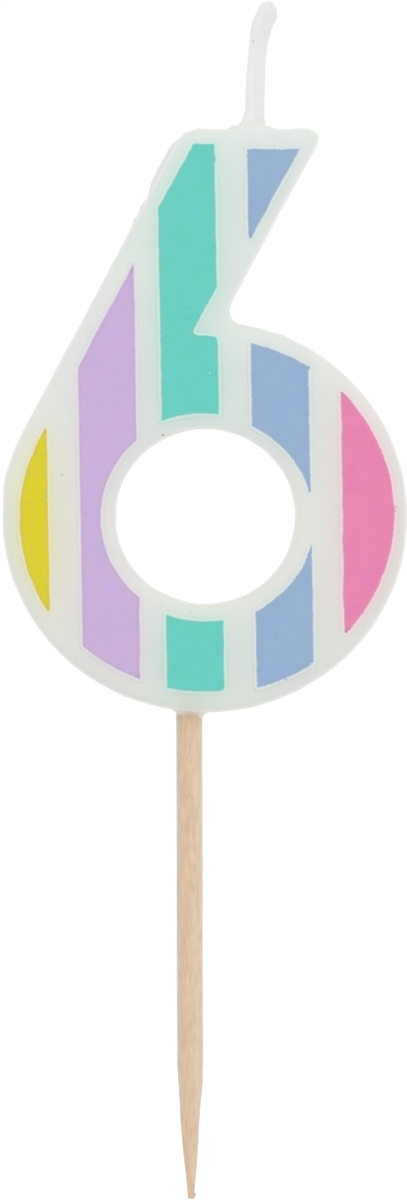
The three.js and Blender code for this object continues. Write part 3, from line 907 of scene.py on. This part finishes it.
def smooth_curve(knots, steps=79):
    """A curve through all knots: between two of them a cubic whose slopes at the ends follow the neighbours,
    each weighed by the root of its distance, which keeps the curve from looping. At the share t of the way
    it is (2t3 - 3t2 + 1) b + (t3 - 2t2 + t) slope b + (3t2 - 2t3) c + (t3 - t2) slope c."""
    p = np.concatenate([[2 * knots[0] - knots[1]], knots, [2 * knots[-1] - knots[-2]]])[:, None]
    root = np.sqrt(np.linalg.norm(np.diff(p, axis=0), axis=2, keepdims=True))
    before, here, after = root[:-2], root[1:-1], root[2:]
    a, b, c, d = p[:-3], p[1:-2], p[2:-1], p[3:]
    slope_b = here * ((b - a) / before - (c - a) / (before + here) + (c - b) / here)
    slope_c = here * ((c - b) / here - (d - b) / (here + after) + (d - c) / after)
    t = np.arange(steps)[None, :, None] / steps
    cubic = (2 * t**3 - 3 * t**2 + 1) * b + (t**3 - 2 * t**2 + t) * slope_b
    cubic = cubic + (3 * t**2 - 2 * t**3) * c + (t**3 - t**2) * slope_c
    return np.concatenate([cubic.reshape(-1, 2), knots[-1:]])


wick_line = smooth_curve(route_knots)
wick_line[:, 0] += BEND_MORE * np.maximum(wick_line[:, 1] - BEND_FROM, 0.0) ** 2
wick_at = np.concatenate([[0], np.cumsum(np.linalg.norm(np.diff(wick_line, axis=0), axis=1))])
WICK_LENGTH = wick_at[-1]
MOUTH_AT = float(np.interp(HEIGHT, wick_line[:, 1], wick_at))
print("the wick is %.1f mm long, %.1f mm of it free" % (WICK_LENGTH, WICK_LENGTH - MOUTH_AT))

# %% [markdown]
# A tube needs two directions across its route at each point. The route lies in the plane of the numeral, so
# one of them is the route's own right-hand side and the other always points to the front.

# %% A closed tube along a route
def angles_round(sides):
    """Even angles all the way round."""
    return 2 * math.pi * np.arange(sides) / sides


def sweep(centres, rights, fronts, radius, slope=None):
    """Rings of points: centre + radius * (cos t * right + sin t * front), radius being a table of rows along
    the route by sides round it. slope tips a ring over: it moves each point along by slope times its way to
    the right. Both ends are closed by a point in their middle."""
    rows, sides = radius.shape
    t = angles_round(sides)
    aside = (radius * np.cos(t)).T
    rings = centres + aside[:, :, None] * rights + (radius * np.sin(t)).T[:, :, None] * fronts
    if slope is not None:
        rings = rings + (aside * slope)[:, :, None] * np.cross(fronts, rights)
    i, pole = np.arange(sides), sides * rows
    following = (i + 1) % sides
    start = np.stack([np.full(sides, pole), i * rows, following * rows], 1)
    end = np.stack([np.full(sides, pole + 1), (following + 1) * rows - 1, (i + 1) * rows - 1], 1)
    points = np.concatenate([rings.reshape(-1, 3), centres[[0, -1]]])
    return points, np.concatenate([grid_triangles(sides, rows), start, end])


def wick_place(s):
    """The wick's middle at a distance along it."""
    return np.stack([np.interp(s, wick_at, column) for column in wick_line.T], 1)


def on_route(s):
    """The wick's middle at a distance along it, and the directions to its right and to the front. The way it
    runs is that of a chord of 0.3 mm round the place. Past the end it runs straight on."""
    inner = np.minimum(s, WICK_LENGTH)
    ahead = np.minimum(inner + 0.1, WICK_LENGTH)
    way = unit(wick_place(ahead) - wick_place(ahead - 0.3))
    place = wick_place(inner) + way * (s - inner)[:, None]
    zero = np.zeros(len(s))
    centres = np.stack([place[:, 0], zero, place[:, 1]], 1)
    return centres, np.stack([way[:, 1], zero, -way[:, 0]], 1), np.tile([0.0, -1.0, 0.0], (len(s), 1))


# %% The coat and the core
END_SLOPE, SLOPE_REACH, END_ROUND, END_POWER = -0.2, 1.7, 1.53, 1.2
DISH_PAST_CUT, DISH_SHARE = 0.98, 0.43
# The coat's colour, the paler colour of the painted light on its sides, and a paler white for its foot, also
# painted light.
DIPPED, DIPPED_PALE, DIPPED_FOOT_LIT = (linear(c) for c in ((234, 235, 232), (250, 249, 248), (238, 237, 235)))
CUT = float(np.interp(83.99, wick_line[:, 1], wick_at))
lumps = waves(31, 0.9, 4)


def coat_radius(s, z, t):
    """Half the coat's width: thinner in the middle of its free length, thicker by the cut, with lumps, with
    a long foot to the left, a short skirt all round where it meets the mound, and a bulge at either side of
    the bend."""
    r = COAT_RADIUS + 0.03 * bump_at(z - 73.5, 2.5) - 0.02 * bump_at(z - 79.3, 2.4)
    r = r + 0.1 * smooth_step(80.6, 82.6, z)
    left, right = (np.maximum(side * np.cos(t), 0) ** 1.6 for side in (-1, 1))
    above_wax = smooth_step(69.0, 70.0, z)
    meets = np.exp(-np.maximum(z - 70.5, 0.0) / 0.14) * above_wax
    foot = 0.5 * smooth_step(73.1, 70.7, z) * above_wax
    flare = 0.03 + foot + 0.12 * meets + 0.07 * bump_at(z - 82.0, 0.9)
    bulge = 0.06 * bump_at(z - 70.6, 0.6) + 0.1 * bump_at(z - 84.0, 0.6) - 0.07 * bump_at(z - 71.9, 0.7)
    r = r + 0.16 * meets
    wavy = 0.012 * lumps(s[:, None], COAT_RADIUS * np.sin(t)) * (z > 66)[:, None]
    return r[:, None] + flare[:, None] * left + bulge[:, None] * right + wavy


def cut_end(s, rounding, power, low, high, count):
    """Rows for a rounded end: past s the distance grows by rounding times the sine of an angle, while the
    width shrinks by its cosine to a power, the angle running from low to high degrees."""
    angle = np.radians(np.linspace(low, high, count))
    return s + rounding * np.sin(angle), np.cos(angle) ** power


def end_slope(s):
    """How far a ring tips over: not at all until SLOPE_REACH before the cut, and fully at the cut."""
    return END_SLOPE * smooth_step(CUT - SLOPE_REACH, CUT, s)


lip, lip_share = cut_end(CUT, END_ROUND, END_POWER, 0, 59, 11)
s = np.concatenate([
    np.arange(0.3, MOUTH_AT - 1.0, 1.0),
    np.arange(MOUTH_AT - 1.0, MOUTH_AT + 2.0, 0.07),
    np.arange(MOUTH_AT + 2.0, CUT - 0.07, 0.14),
    lip,
    [CUT + DISH_PAST_CUT],
])
share = np.concatenate([np.ones(len(s) - len(lip) - 1), lip_share, [DISH_SHARE]])
t = angles_round(40)
before = np.minimum(s, CUT)
radius = coat_radius(before, on_route(before)[0][:, 2], t) * share[:, None]
points, triangles = sweep(*on_route(s), radius, slope=end_slope(s))
# Painted light: the coat is painted paler on its sides, where it is seen edge on from in front, most of all
# on the left, the side away from the lamp.
aside = np.append(np.repeat(np.cos(t), len(s)), [0.0, 0.0])
painted_pale = np.where(aside < 0, 0.55 * np.minimum(-aside / 0.7, 1), 0.2 * aside**2)[:, None]
dipped = DIPPED * (1 - painted_pale) + DIPPED_PALE * painted_pale
dipped *= 1 - 0.028 * smooth_step(79.0, 82.5, points[:, 2:])
# The foot takes half the tint of the wax it stands in and half a paler white, painted light against the shade
# in the crease where it meets the mound.
from_wax = smooth_step(71.5, 70.4, points[:, 2])[:, None]
wax_below = wax_tint(np.minimum(points, (100.0, 100.0, 71.0))) * 0.5 + 0.5 * DIPPED_FOOT_LIT
coat = add_piece("wick_coat_dipped", points, triangles, ["wick_coat"], crease=50,
                 colours={"tint": dipped * (1 - from_wax) + wax_below * from_wax})
print("the coat's highest point is at Z %.3f" % points[:, 2].max())

CORE_RADIUS, CORE_BRAID, CORE_TWIST, CORE_CUT = 0.4, 0.08, 2.2, CUT + 1.17
crown, crown_share = cut_end(CORE_CUT, 0.33, 0.9, 8, 72, 6)
s = np.concatenate([np.arange(0.3, CUT - 4, 1.0), np.arange(CUT - 4, CORE_CUT, 0.1), crown])
t = angles_round(48)
twist = CORE_TWIST * s[:, None]
strands = np.maximum(np.abs(np.sin(3 * t + twist)), np.abs(np.sin(3 * t - twist)))
radius = CORE_RADIUS + CORE_BRAID * strands
radius[-len(crown):] *= crown_share[:, None]
points, triangles = sweep(*on_route(s), radius, slope=end_slope(s))
core = add_piece("wick_core_braid", points, triangles, ["wick_core"])
print("the core's highest point is at Z %.3f" % points[:, 2].max())

# %% [markdown]
# ## The pick
#
# The pick is a length of turned birch dowel. A machine shaves its end to a blunt point and leaves a torn
# sliver there. Its surface is a circle drawn up along a line that leans by a hair, with the radius read
# from a short table, and with shallow ridges that follow the grain from end to end.

# %% The pick
TABLE_Z = [-58.5, -57.4, -56.2, -53.8, -51.4, -49.0, -46.6, -44.2, -43.0, -42.2, 11.5]
TABLE_R = [0.36, 0.42, 0.541, 0.727, 0.925, 1.075, 1.232, 1.394, 1.466, 1.495, 1.5]
# What is left of the radius on the first three rows, at the tip, and on the last two, in the socket.
TIP_SHARE, END_SHARE = [[0.72], [0.88], [0.97]], [[0.99], [0.93]]
PICK_SIDES = 64
ridges, whittled = waves(41, 0.25, 1.3), waves(42, 0.8, 2.5)

z = np.concatenate([
    [-58.5, -58.46, -58.38],
    np.arange(-58.3, -56, 0.1),
    np.arange(-56, -41, 0.3),
    np.arange(-41, -4, 0.8),
    np.arange(-4, 0.5, 0.2),
    np.arange(0.5, 11.2, 0.8),
    [11.35, 11.49],
])
t, up = angles_round(PICK_SIDES), z[:, None]
radius = np.interp(z, TABLE_Z, TABLE_R)[:, None] * np.ones(PICK_SIDES)
around, front = PICK_RADIUS * np.cos(t), PICK_RADIUS * np.sin(t)
radius += 0.010 * ridges(around + 0.02 * up, front - 0.013 * up) + 0.068 * smooth_step(-57, -53, up)
radius += 0.02 * whittled(around + 0.2 * up, front) * smooth_step(-42, -45, up)
radius += 0.24 * bump_at(up + 58.05, 0.3) * np.maximum(np.cos(t - 0.2), 0) ** 3
radius[:3] *= TIP_SHARE
radius[-2:] *= END_SHARE
centres = np.stack([-0.05 + 0.14 * np.clip(-z, 0, 60) / 54 + 0.05 * smooth_step(-53, -58, z), 0 * z, z], 1)
rights, fronts = (np.tile(way, (len(z), 1)) for way in ([1.0, 0, 0], [0, -1.0, 0]))
points, triangles = sweep(centres, rights, fronts, radius)
# Painted light on the pick's right side, and painted shade along its left edge.
painted_light_right, painted_shade_left = smooth_step(-0.4, 0.9, points[:, 0]), smooth_step(-0.75, -1.45, points[:, 0])
pick = add_piece("pick_turned", points, triangles, ["wooden_pick"], crease=50,
                 values={"painted_light_right": painted_light_right, "painted_shade_left": painted_shade_left})

# %% [markdown]
# ## Finishes
#
# A material is a net of nodes. The surface itself is one Principled shader in each, and what varies over
# it, such as cloudiness, grain and specks, is measured from Object coordinates or from an attribute that
# came with the mesh. Effects that several finishes share are node groups with named inputs, built once.

# %% Helpers for nodes
def add_node(tree, kind, inputs=None, **settings):
    """A node with its settings, and its inputs set to a value or joined to another node's output."""
    node = tree.nodes.new("ShaderNode" + kind)
    for key, value in settings.items():
        setattr(node, key, value)
    for key, value in (inputs or {}).items():
        if isinstance(value, bpy.types.NodeSocket):
            tree.links.new(value, node.inputs[key])
        else:
            node.inputs[key].default_value = value
    return node


def maths(tree, operation, *values):
    """The result of a Math node on two or three values."""
    return add_node(tree, "Math", dict(enumerate(values)), operation=operation).outputs[0]


def blend_colours(tree, share, a, b, kind="MIX"):
    """The result of a Mix node on two colours."""
    return add_node(tree, "Mix", {0: share, 6: a, 7: b}, data_type="RGBA", blend_type=kind).outputs[2]


def times(tree, colour, *shades):
    """A colour multiplied by one shade after another."""
    for shade in shades:
        colour = blend_colours(tree, 1.0, colour, shade, "MULTIPLY")
    return colour


def rgba(rgb):
    """A screen colour as a socket takes it."""
    return (*linear(rgb), 1.0)


def laid_over(tree, colour, mask, strength, over):
    """A colour with a screen colour laid over it where a mask is 1, as thick as strength says."""
    return blend_colours(tree, maths(tree, "MULTIPLY", mask, strength), colour, rgba(over))


def attribute(tree, name, output="Fac"):
    """An attribute that came with the mesh, as a value or as a colour."""
    return add_node(tree, "Attribute", attribute_name=name).outputs[output]


def new_group(name, vectors, values, outputs):
    """An empty node group with its inputs, first the vectors and then the values, its outputs, which are all
    values, and its two end nodes."""
    tree = bpy.data.node_groups.new(name, "ShaderNodeTree")
    ends = [("INPUT", "Vector", vectors), ("INPUT", "Float", values), ("OUTPUT", "Float", outputs)]
    for way, kind, sockets in ends:
        for socket in sockets:
            tree.interface.new_socket(socket, in_out=way, socket_type="NodeSocket" + kind)
    return tree, tree.nodes.new("NodeGroupInput").outputs, tree.nodes.new("NodeGroupOutput").inputs


def give_noise(tree, place, detail, have, give):
    """Noise at a place: Height is the bare noise, and Shade swings about 1 by Share."""
    inputs = {"Vector": place, "Scale": have["Fineness"], "Detail": detail}
    noise = add_node(tree, "TexNoise", inputs).outputs[0]
    swing = maths(tree, "MULTIPLY", maths(tree, "SUBTRACT", noise, 0.5), 4.0)
    tree.links.new(maths(tree, "MULTIPLY_ADD", swing, have["Share"], 1.0), give["Shade"])
    tree.links.new(noise, give["Height"])


# %% Shared effects as node groups
# Cloud: soft blotches.
cloud, have, give = new_group("cloud", ["Place"], ["Fineness", "Share"], ["Shade", "Height"])
give_noise(cloud, have["Place"], 3.0, have, give)

# Grain: the same noise drawn out along Z, for fibres that run the length of a piece.
grain, have, give = new_group("grain", ["Place"], ["Fineness", "Length", "Share"], ["Shade", "Height"])
flatter = maths(grain, "DIVIDE", 1.0, have["Length"])
squeeze = add_node(grain, "CombineXYZ", {0: 1.0, 1: 1.0, 2: flatter}).outputs[0]
drawn = add_node(grain, "VectorMath", {0: have["Place"], 1: squeeze}, operation="MULTIPLY").outputs[0]
give_noise(grain, drawn, 2.0, have, give)

# Specks: a small round dot in a few of the cells that space is divided into. Share is how few.
specks, have, give = new_group("specks", ["Place"], ["Fineness", "Share", "Size"], ["Mask"])
cells = add_node(specks, "TexVoronoi", {"Vector": have["Place"], "Scale": have["Fineness"]})
chosen = add_node(specks, "SeparateColor", {0: cells.outputs["Color"]}).outputs[0]
chosen = maths(specks, "LESS_THAN", chosen, have["Share"])
dot = maths(specks, "LESS_THAN", cells.outputs["Distance"], have["Size"])
specks.links.new(maths(specks, "MULTIPLY", chosen, dot), give["Mask"])

# Dot: one mark at a known place, soft at its rim.
dots, have, give = new_group("dot", ["Place", "Middle"], ["Radius"], ["Mask"])
away = add_node(dots, "VectorMath", {0: have["Place"], 1: have["Middle"]}, operation="DISTANCE")
ratio = maths(dots, "DIVIDE", away.outputs["Value"], have["Radius"])
rim_fade = {"Value": ratio, "From Min": 0.5, "From Max": 1.0, "To Min": 1.0, "To Max": 0.0}
soft = add_node(dots, "MapRange", rim_fade)
dots.links.new(soft.outputs[0], give["Mask"])
print("groups:", [g.name for g in bpy.data.node_groups])


# %% Starting a material
def new_material(name, **sockets):
    """A material with a Principled shader, whose constants are set on its sockets, and its coordinates."""
    material = bpy.data.materials.new(name)
    material.use_nodes = True
    tree = material.node_tree
    tree.nodes.clear()
    constants = {key.replace("_", " "): value for key, value in sockets.items()}
    shader = add_node(tree, "BsdfPrincipled", constants)
    add_node(tree, "OutputMaterial", {"Surface": shader.outputs[0]})
    return material, tree, shader, add_node(tree, "TexCoord").outputs["Object"]


def use_group(tree, group, place, **inputs):
    """The outputs of a group, placed in a material with its own values."""
    return add_node(tree, "Group", {"Place": place, **inputs}, node_tree=group).outputs


def add_marks(tree, place, colour, marks):
    """A colour with marks laid over it, each given by its middle, radius, strength and screen colour."""
    for middle, radius, strength, shade in marks:
        mark = use_group(tree, dots, place, Middle=[v * MM for v in middle], Radius=radius * MM)
        colour = laid_over(tree, colour, mark["Mask"], strength, shade)
    return colour


def drifting(tree, hue, one, other):
    """A colour that drifts between two screen colours, as a cloud's shade goes from 0.5 to 1.5."""
    return blend_colours(tree, maths(tree, "SUBTRACT", hue["Shade"], 0.5), rgba(one), rgba(other))


def finish_surface(tree, shader, colour, roughness, heights):
    """Joins a colour to the shader, a roughness, which is a height times a number plus another, and a chain
    of bumps, each a height and its depth in millimetres."""
    tree.links.new(colour, shader.inputs["Base Color"])
    tree.links.new(maths(tree, "MULTIPLY_ADD", *roughness), shader.inputs["Roughness"])
    normal = {}
    for height, depth in heights:
        bump = add_node(tree, "Bump", {"Height": height, "Distance": depth * MM, "Strength": 1.0, **normal})
        normal = {"Normal": bump.outputs[0]}
    tree.links.new(normal["Normal"], shader.inputs["Normal"])


# %% [markdown]
# ### Wax
#
# Candle wax is dull rather than glossy, with a faint cloudiness that changes over millimetres, a finer
# mottle from its crystals, and a stray dark fibre or two. Its colour starts from the tint worked out for
# each point, and its thin edges are painted paler, as painted light.

# %% The wax of the body
WAX_MARKS = [
    ((-3.2, -4.3, 33.25), 0.22, 0.7, (150, 120, 95)),
    ((-15.3, -4.5, 28.5), 0.15, 0.7, (150, 160, 150)),
    ((0.04, -4.5, 11.9), 0.3, 0.7, (205, 217, 206)),
]


def make_wax():
    """Tint, times two clouds and a drift between a pinker and a greener white, painted paler where thin as
    painted light, with specks and a few marks."""
    wax, tree, shader, place = new_material("wax", Specular_IOR_Level=0.35)
    broad = use_group(tree, cloud, place, Fineness=260.0, Share=0.012)
    fine = use_group(tree, cloud, place, Fineness=1500.0, Share=0.012)
    hue = use_group(tree, cloud, place, Fineness=420.0, Share=0.35)
    toned = blend_colours(tree, hue["Shade"], (1.0, 0.99, 0.985, 1.0), (0.985, 1.0, 0.99, 1.0))
    colour = times(tree, attribute(tree, "tint", "Color"), toned, broad["Shade"], fine["Shade"])
    # Painted light: paler where the wax is thin enough to let light through.
    colour = blend_colours(tree, attribute(tree, "thin_glow"), colour, rgba((243, 242, 241)))
    fibre = use_group(tree, specks, place, Fineness=330.0, Share=0.015, Size=0.05)
    colour = laid_over(tree, colour, fibre["Mask"], 0.4, (176, 170, 150))
    colour = add_marks(tree, place, colour, WAX_MARKS)
    bumps = [(broad["Height"], 0.08), (fine["Height"], 0.02)]
    finish_surface(tree, shader, colour, (broad["Height"], 0.16, 0.36), bumps)
    return wax


body.data.materials.append(make_wax())

# %% The wax on the wick
WICK_MARKS = [
    ((7.6, -0.9, 80.65), 0.24, 0.7, (186, 192, 190)),
    ((7.65, -0.95, 80.1), 0.2, 0.25, (186, 192, 190)),
]


def make_wick_wax():
    """Nearly white, with faint streaks along the cord, soft blotches, a drift between a lilac and a green
    white, and two darker spots. Its foot has half the tint of the wax that it stands in, and half a paler
    white that is painted light against the shade where it meets the mound."""
    wax, tree, shader, place = new_material(
        "wick_wax", Specular_IOR_Level=0.35, Sheen_Weight=1.0, Sheen_Roughness=0.3)
    streak = use_group(tree, grain, place, Fineness=1600.0, Length=7.0, Share=0.010)
    blotch = use_group(tree, cloud, place, Fineness=700.0, Share=0.012)
    hue = use_group(tree, cloud, place, Fineness=500.0, Share=0.5)
    toned = blend_colours(tree, hue["Shade"], (1.0, 0.98, 1.0, 1.0), (0.98, 1.0, 0.985, 1.0))
    colour = times(tree, attribute(tree, "tint", "Color"), toned, streak["Shade"], blotch["Shade"])
    colour = add_marks(tree, place, colour, WICK_MARKS)
    bumps = [(blotch["Height"], 0.06), (streak["Height"], 0.03)]
    finish_surface(tree, shader, colour, (streak["Height"], 0.2, 0.4), bumps)
    return wax


def make_cotton():
    """Bleached cotton soaked with wax, matt and a little fuzzy, with fine fibres."""
    cotton, tree, shader, place = new_material(
        "cotton", Specular_IOR_Level=0.2, Sheen_Weight=0.3, Sheen_Roughness=0.6)
    fibre = use_group(tree, grain, place, Fineness=9000.0, Length=5.0, Share=0.04)
    colour = times(tree, rgba((239, 239, 234)), fibre["Shade"])
    finish_surface(tree, shader, colour, (fibre["Height"], 0.1, 0.85), [(fibre["Height"], 0.03)])
    return cotton


coat.data.materials.append(make_wick_wax())
core.data.materials.append(make_cotton())

# %% [markdown]
# ### Printed film
#
# The colour is ink on a white base. It is slightly mottled, because it was pressed on warm, with pinholes
# where a speck of dust kept it off, and its skin is a little smoother than the wax.

# %% The films
HUES = {
    "yellow": ((225, 210, 8), (219, 204, 40)),
    "purple": ((206, 176, 216), (199, 173, 223)),
    "teal": ((97, 207, 189), (102, 206, 198)),
    "blue": ((147, 173, 212), (147, 179, 206)),
    "pink": ((234, 134, 176), (232, 126, 179)),
}


def make_film_finish(key):
    """Ink whose hue drifts between two shades, times two clouds, duller where it dried at its edge and, as
    painted shade, on edges that face down or left, grey at a worn tip, with a few pale pinholes. Off the ink
    the margin's colour shows."""
    film, tree, shader, place = new_material("film_" + key, Specular_IOR_Level=0.3)
    hue = use_group(tree, cloud, place, Fineness=520.0, Share=0.6)
    broad = use_group(tree, cloud, place, Fineness=420.0, Share=0.014)
    fine = use_group(tree, cloud, place, Fineness=2600.0, Share=0.022)
    colour = times(tree, drifting(tree, hue, *HUES[key]), broad["Shade"], fine["Shade"])
    dull = (172, 164, 144) if key == "yellow" else (172, 166, 164)
    # Duller where the ink dried at its edge, and painted shade on its edges that face down or left.
    colour = laid_over(tree, colour, attribute(tree, "dried_and_shaded"), 0.2, dull)
    colour = laid_over(tree, colour, attribute(tree, "worn"), 0.8, (136, 136, 146))
    pinhole = use_group(tree, specks, place, Fineness=420.0, Share=0.05, Size=0.06)
    colour = laid_over(tree, colour, pinhole["Mask"], 0.5, (240, 243, 240))
    colour = blend_colours(tree, attribute(tree, "ink"), attribute(tree, "base", "Color"), colour)
    bumps = [(broad["Height"], 0.04), (fine["Height"], 0.01)]
    finish_surface(tree, shader, colour, (fine["Height"], 0.15, 0.36), bumps)
    return film


film_finishes = {film.key: make_film_finish(film.key) for film in FILMS}
for piece, film in film_pieces:
    piece.data.materials.append(film_finishes[film.key])

# %% [markdown]
# ### Birch
#
# Birch is pale and close grained. Four layers make it: soft blotches of lighter and darker wood, a drift
# between a warmer and a cooler shade, fine fibres, and short dark pores, all drawn out along the stick. On
# its right the stick is painted paler, as painted light from the lamp's side, and its left edge is painted a
# greyer brown, as painted shade.

# %% The pick's wood
def make_birch():
    """Pale wood with a drift of its hue, painted paler on its right as painted light, painted greyer at its
    left edge as painted shade, times broad and fine grain, and darker in its pores."""
    birch, tree, shader, place = new_material(
        "birch", Specular_IOR_Level=0.25, Sheen_Weight=1.0, Sheen_Roughness=0.43)
    broad = use_group(tree, grain, place, Fineness=1800.0, Length=3.2, Share=0.085)
    hue = use_group(tree, grain, place, Fineness=1100.0, Length=3.0, Share=0.6)
    fibre = use_group(tree, grain, place, Fineness=4200.0, Length=14.0, Share=0.055)
    pore = use_group(tree, grain, place, Fineness=5200.0, Length=9.0, Share=0.0)
    colour = drifting(tree, hue, (226, 194, 158), (221, 193, 167))
    # Painted light on the right side, then painted shade at the left edge.
    colour = laid_over(tree, colour, attribute(tree, "painted_light_right"), 0.55, (226, 205, 182))
    colour = laid_over(tree, colour, attribute(tree, "painted_shade_left"), 0.6, (207, 195, 180))
    colour = times(tree, colour, broad["Shade"], fibre["Shade"])
    pores = add_node(tree, "MapRange", {"Value": pore["Height"], "From Min": 0.62, "From Max": 0.72})
    colour = laid_over(tree, colour, pores.outputs[0], 0.3, (176, 143, 112))
    bumps = [(broad["Height"], 0.05), (fibre["Height"], 0.02)]
    finish_surface(tree, shader, colour, (fibre["Height"], 0.2, 0.55), bumps)
    return birch


pick.data.materials.append(make_birch())

# %% [markdown]
# ## Floor, light and camera
#
# The photograph has a pure white background. The floor is plain and pale: to the camera and in gloss and
# glass it adds a little light of its own, so that it reaches white and still shows the candle's shadow.
# The world is white to the same rays and dimmer as a lamp. One big soft lamp stands in front, a little
# above the candle and to the right.

# %% The floor
WHITE = (1.0, 1.0, 1.0, 1.0)
FLOOR_HALF, FLOOR_Z, FLOOR_GLOW, FLOOR_PALE = 600.0, -58.51, 0.3, (0.9, 0.9, 0.9, 1.0)


def show_white(tree):
    """1 for rays from the camera and for those in gloss and glass, 0 for the rest."""
    path = add_node(tree, "LightPath").outputs
    both = maths(tree, "MAXIMUM", path["Is Camera Ray"], path["Is Glossy Ray"])
    return maths(tree, "MAXIMUM", both, path["Is Transmission Ray"])


corners = np.array([[-1, -1], [1, -1], [1, 1], [-1, 1]]) * FLOOR_HALF
mesh = bpy.data.meshes.new("floor")
mesh.from_pydata(np.column_stack([corners, np.full(4, FLOOR_Z)]) * MM, [], [[0, 1, 2, 3]])
floor = bpy.data.objects.new("floor", mesh)
bpy.context.scene.collection.objects.link(floor)

floor_paint, tree, shader, _ = new_material("floor_paint", Specular_IOR_Level=0.0, Roughness=1.0)
shader.inputs["Base Color"].default_value = FLOOR_PALE
strength = maths(tree, "MULTIPLY", show_white(tree), FLOOR_GLOW)
glow = add_node(tree, "Emission", {"Color": WHITE, "Strength": strength})
both = add_node(tree, "AddShader", {0: shader.outputs[0], 1: glow.outputs[0]})
tree.links.new(both.outputs[0], tree.nodes["Material Output"].inputs["Surface"])
floor.data.materials.append(floor_paint)

# %% The world and the lamp
WORLD_LIGHT = 0.915
KEY_PLACE, KEY_TARGET, KEY_SIDE, KEY_WATTS = (500, -1250, 450), (2, 0, 30), 1000, 2.3
world = bpy.data.worlds.new("studio")
bpy.context.scene.world = world
world.use_nodes = True
tree = world.node_tree
tree.nodes.clear()
lit, seen = (add_node(tree, "Background", {"Color": WHITE, "Strength": s}) for s in (WORLD_LIGHT, 1.0))
both = add_node(tree, "MixShader", {0: show_white(tree), 1: lit.outputs[0], 2: seen.outputs[0]})
add_node(tree, "OutputWorld", {"Surface": both.outputs[0]})


def soft_lamp(name, place, target, side, watts):
    """A square lamp at a place, turned to a target, both in millimetres."""
    data = bpy.data.lights.new(name, "AREA")
    data.shape, data.size, data.energy = "SQUARE", side * MM, watts
    lamp = bpy.data.objects.new(name, data)
    lamp.location = [v * MM for v in place]
    aim = np.subtract(target, place)
    turn = math.atan2(-aim[0], aim[1])
    lamp.rotation_euler = (math.atan2(aim[2], math.hypot(aim[0], aim[1])) + math.pi / 2, 0.0, turn)
    bpy.context.scene.collection.objects.link(lamp)


soft_lamp("key", KEY_PLACE, KEY_TARGET, KEY_SIDE, KEY_WATTS)

# %% [markdown]
# The photograph was taken from straight in front and far away: the faces show no perspective. A long lens
# about 2 m off keeps that, and its height is that of the picture's middle. The scale of the photograph holds
# 2 mm in front of the casting's middle.

# %% The camera
MM_PER_PIXEL, PIXELS_HIGH, PICTURE_X, PICTURE_Z = 0.12015, 1200, 1.66, 13.48
LENS, SENSOR, SCALE_DEPTH, FAR_METRES = 540.0, 36.0, -2.0, 100.0
distance = PIXELS_HIGH * MM_PER_PIXEL * LENS / SENSOR - SCALE_DEPTH
camera_data = bpy.data.cameras.new("camera")
camera_data.lens, camera_data.sensor_width = LENS, SENSOR
camera_data.clip_end = FAR_METRES
camera = bpy.data.objects.new("camera", camera_data)
camera.location = (PICTURE_X * MM, -distance * MM, PICTURE_Z * MM)
camera.rotation_euler = (math.pi / 2, 0.0, 0.0)
bpy.context.scene.collection.objects.link(camera)
bpy.context.scene.camera = camera
bpy.context.scene.view_settings.view_transform = "Standard"
print("the camera stands %.2f m away" % (distance * MM))
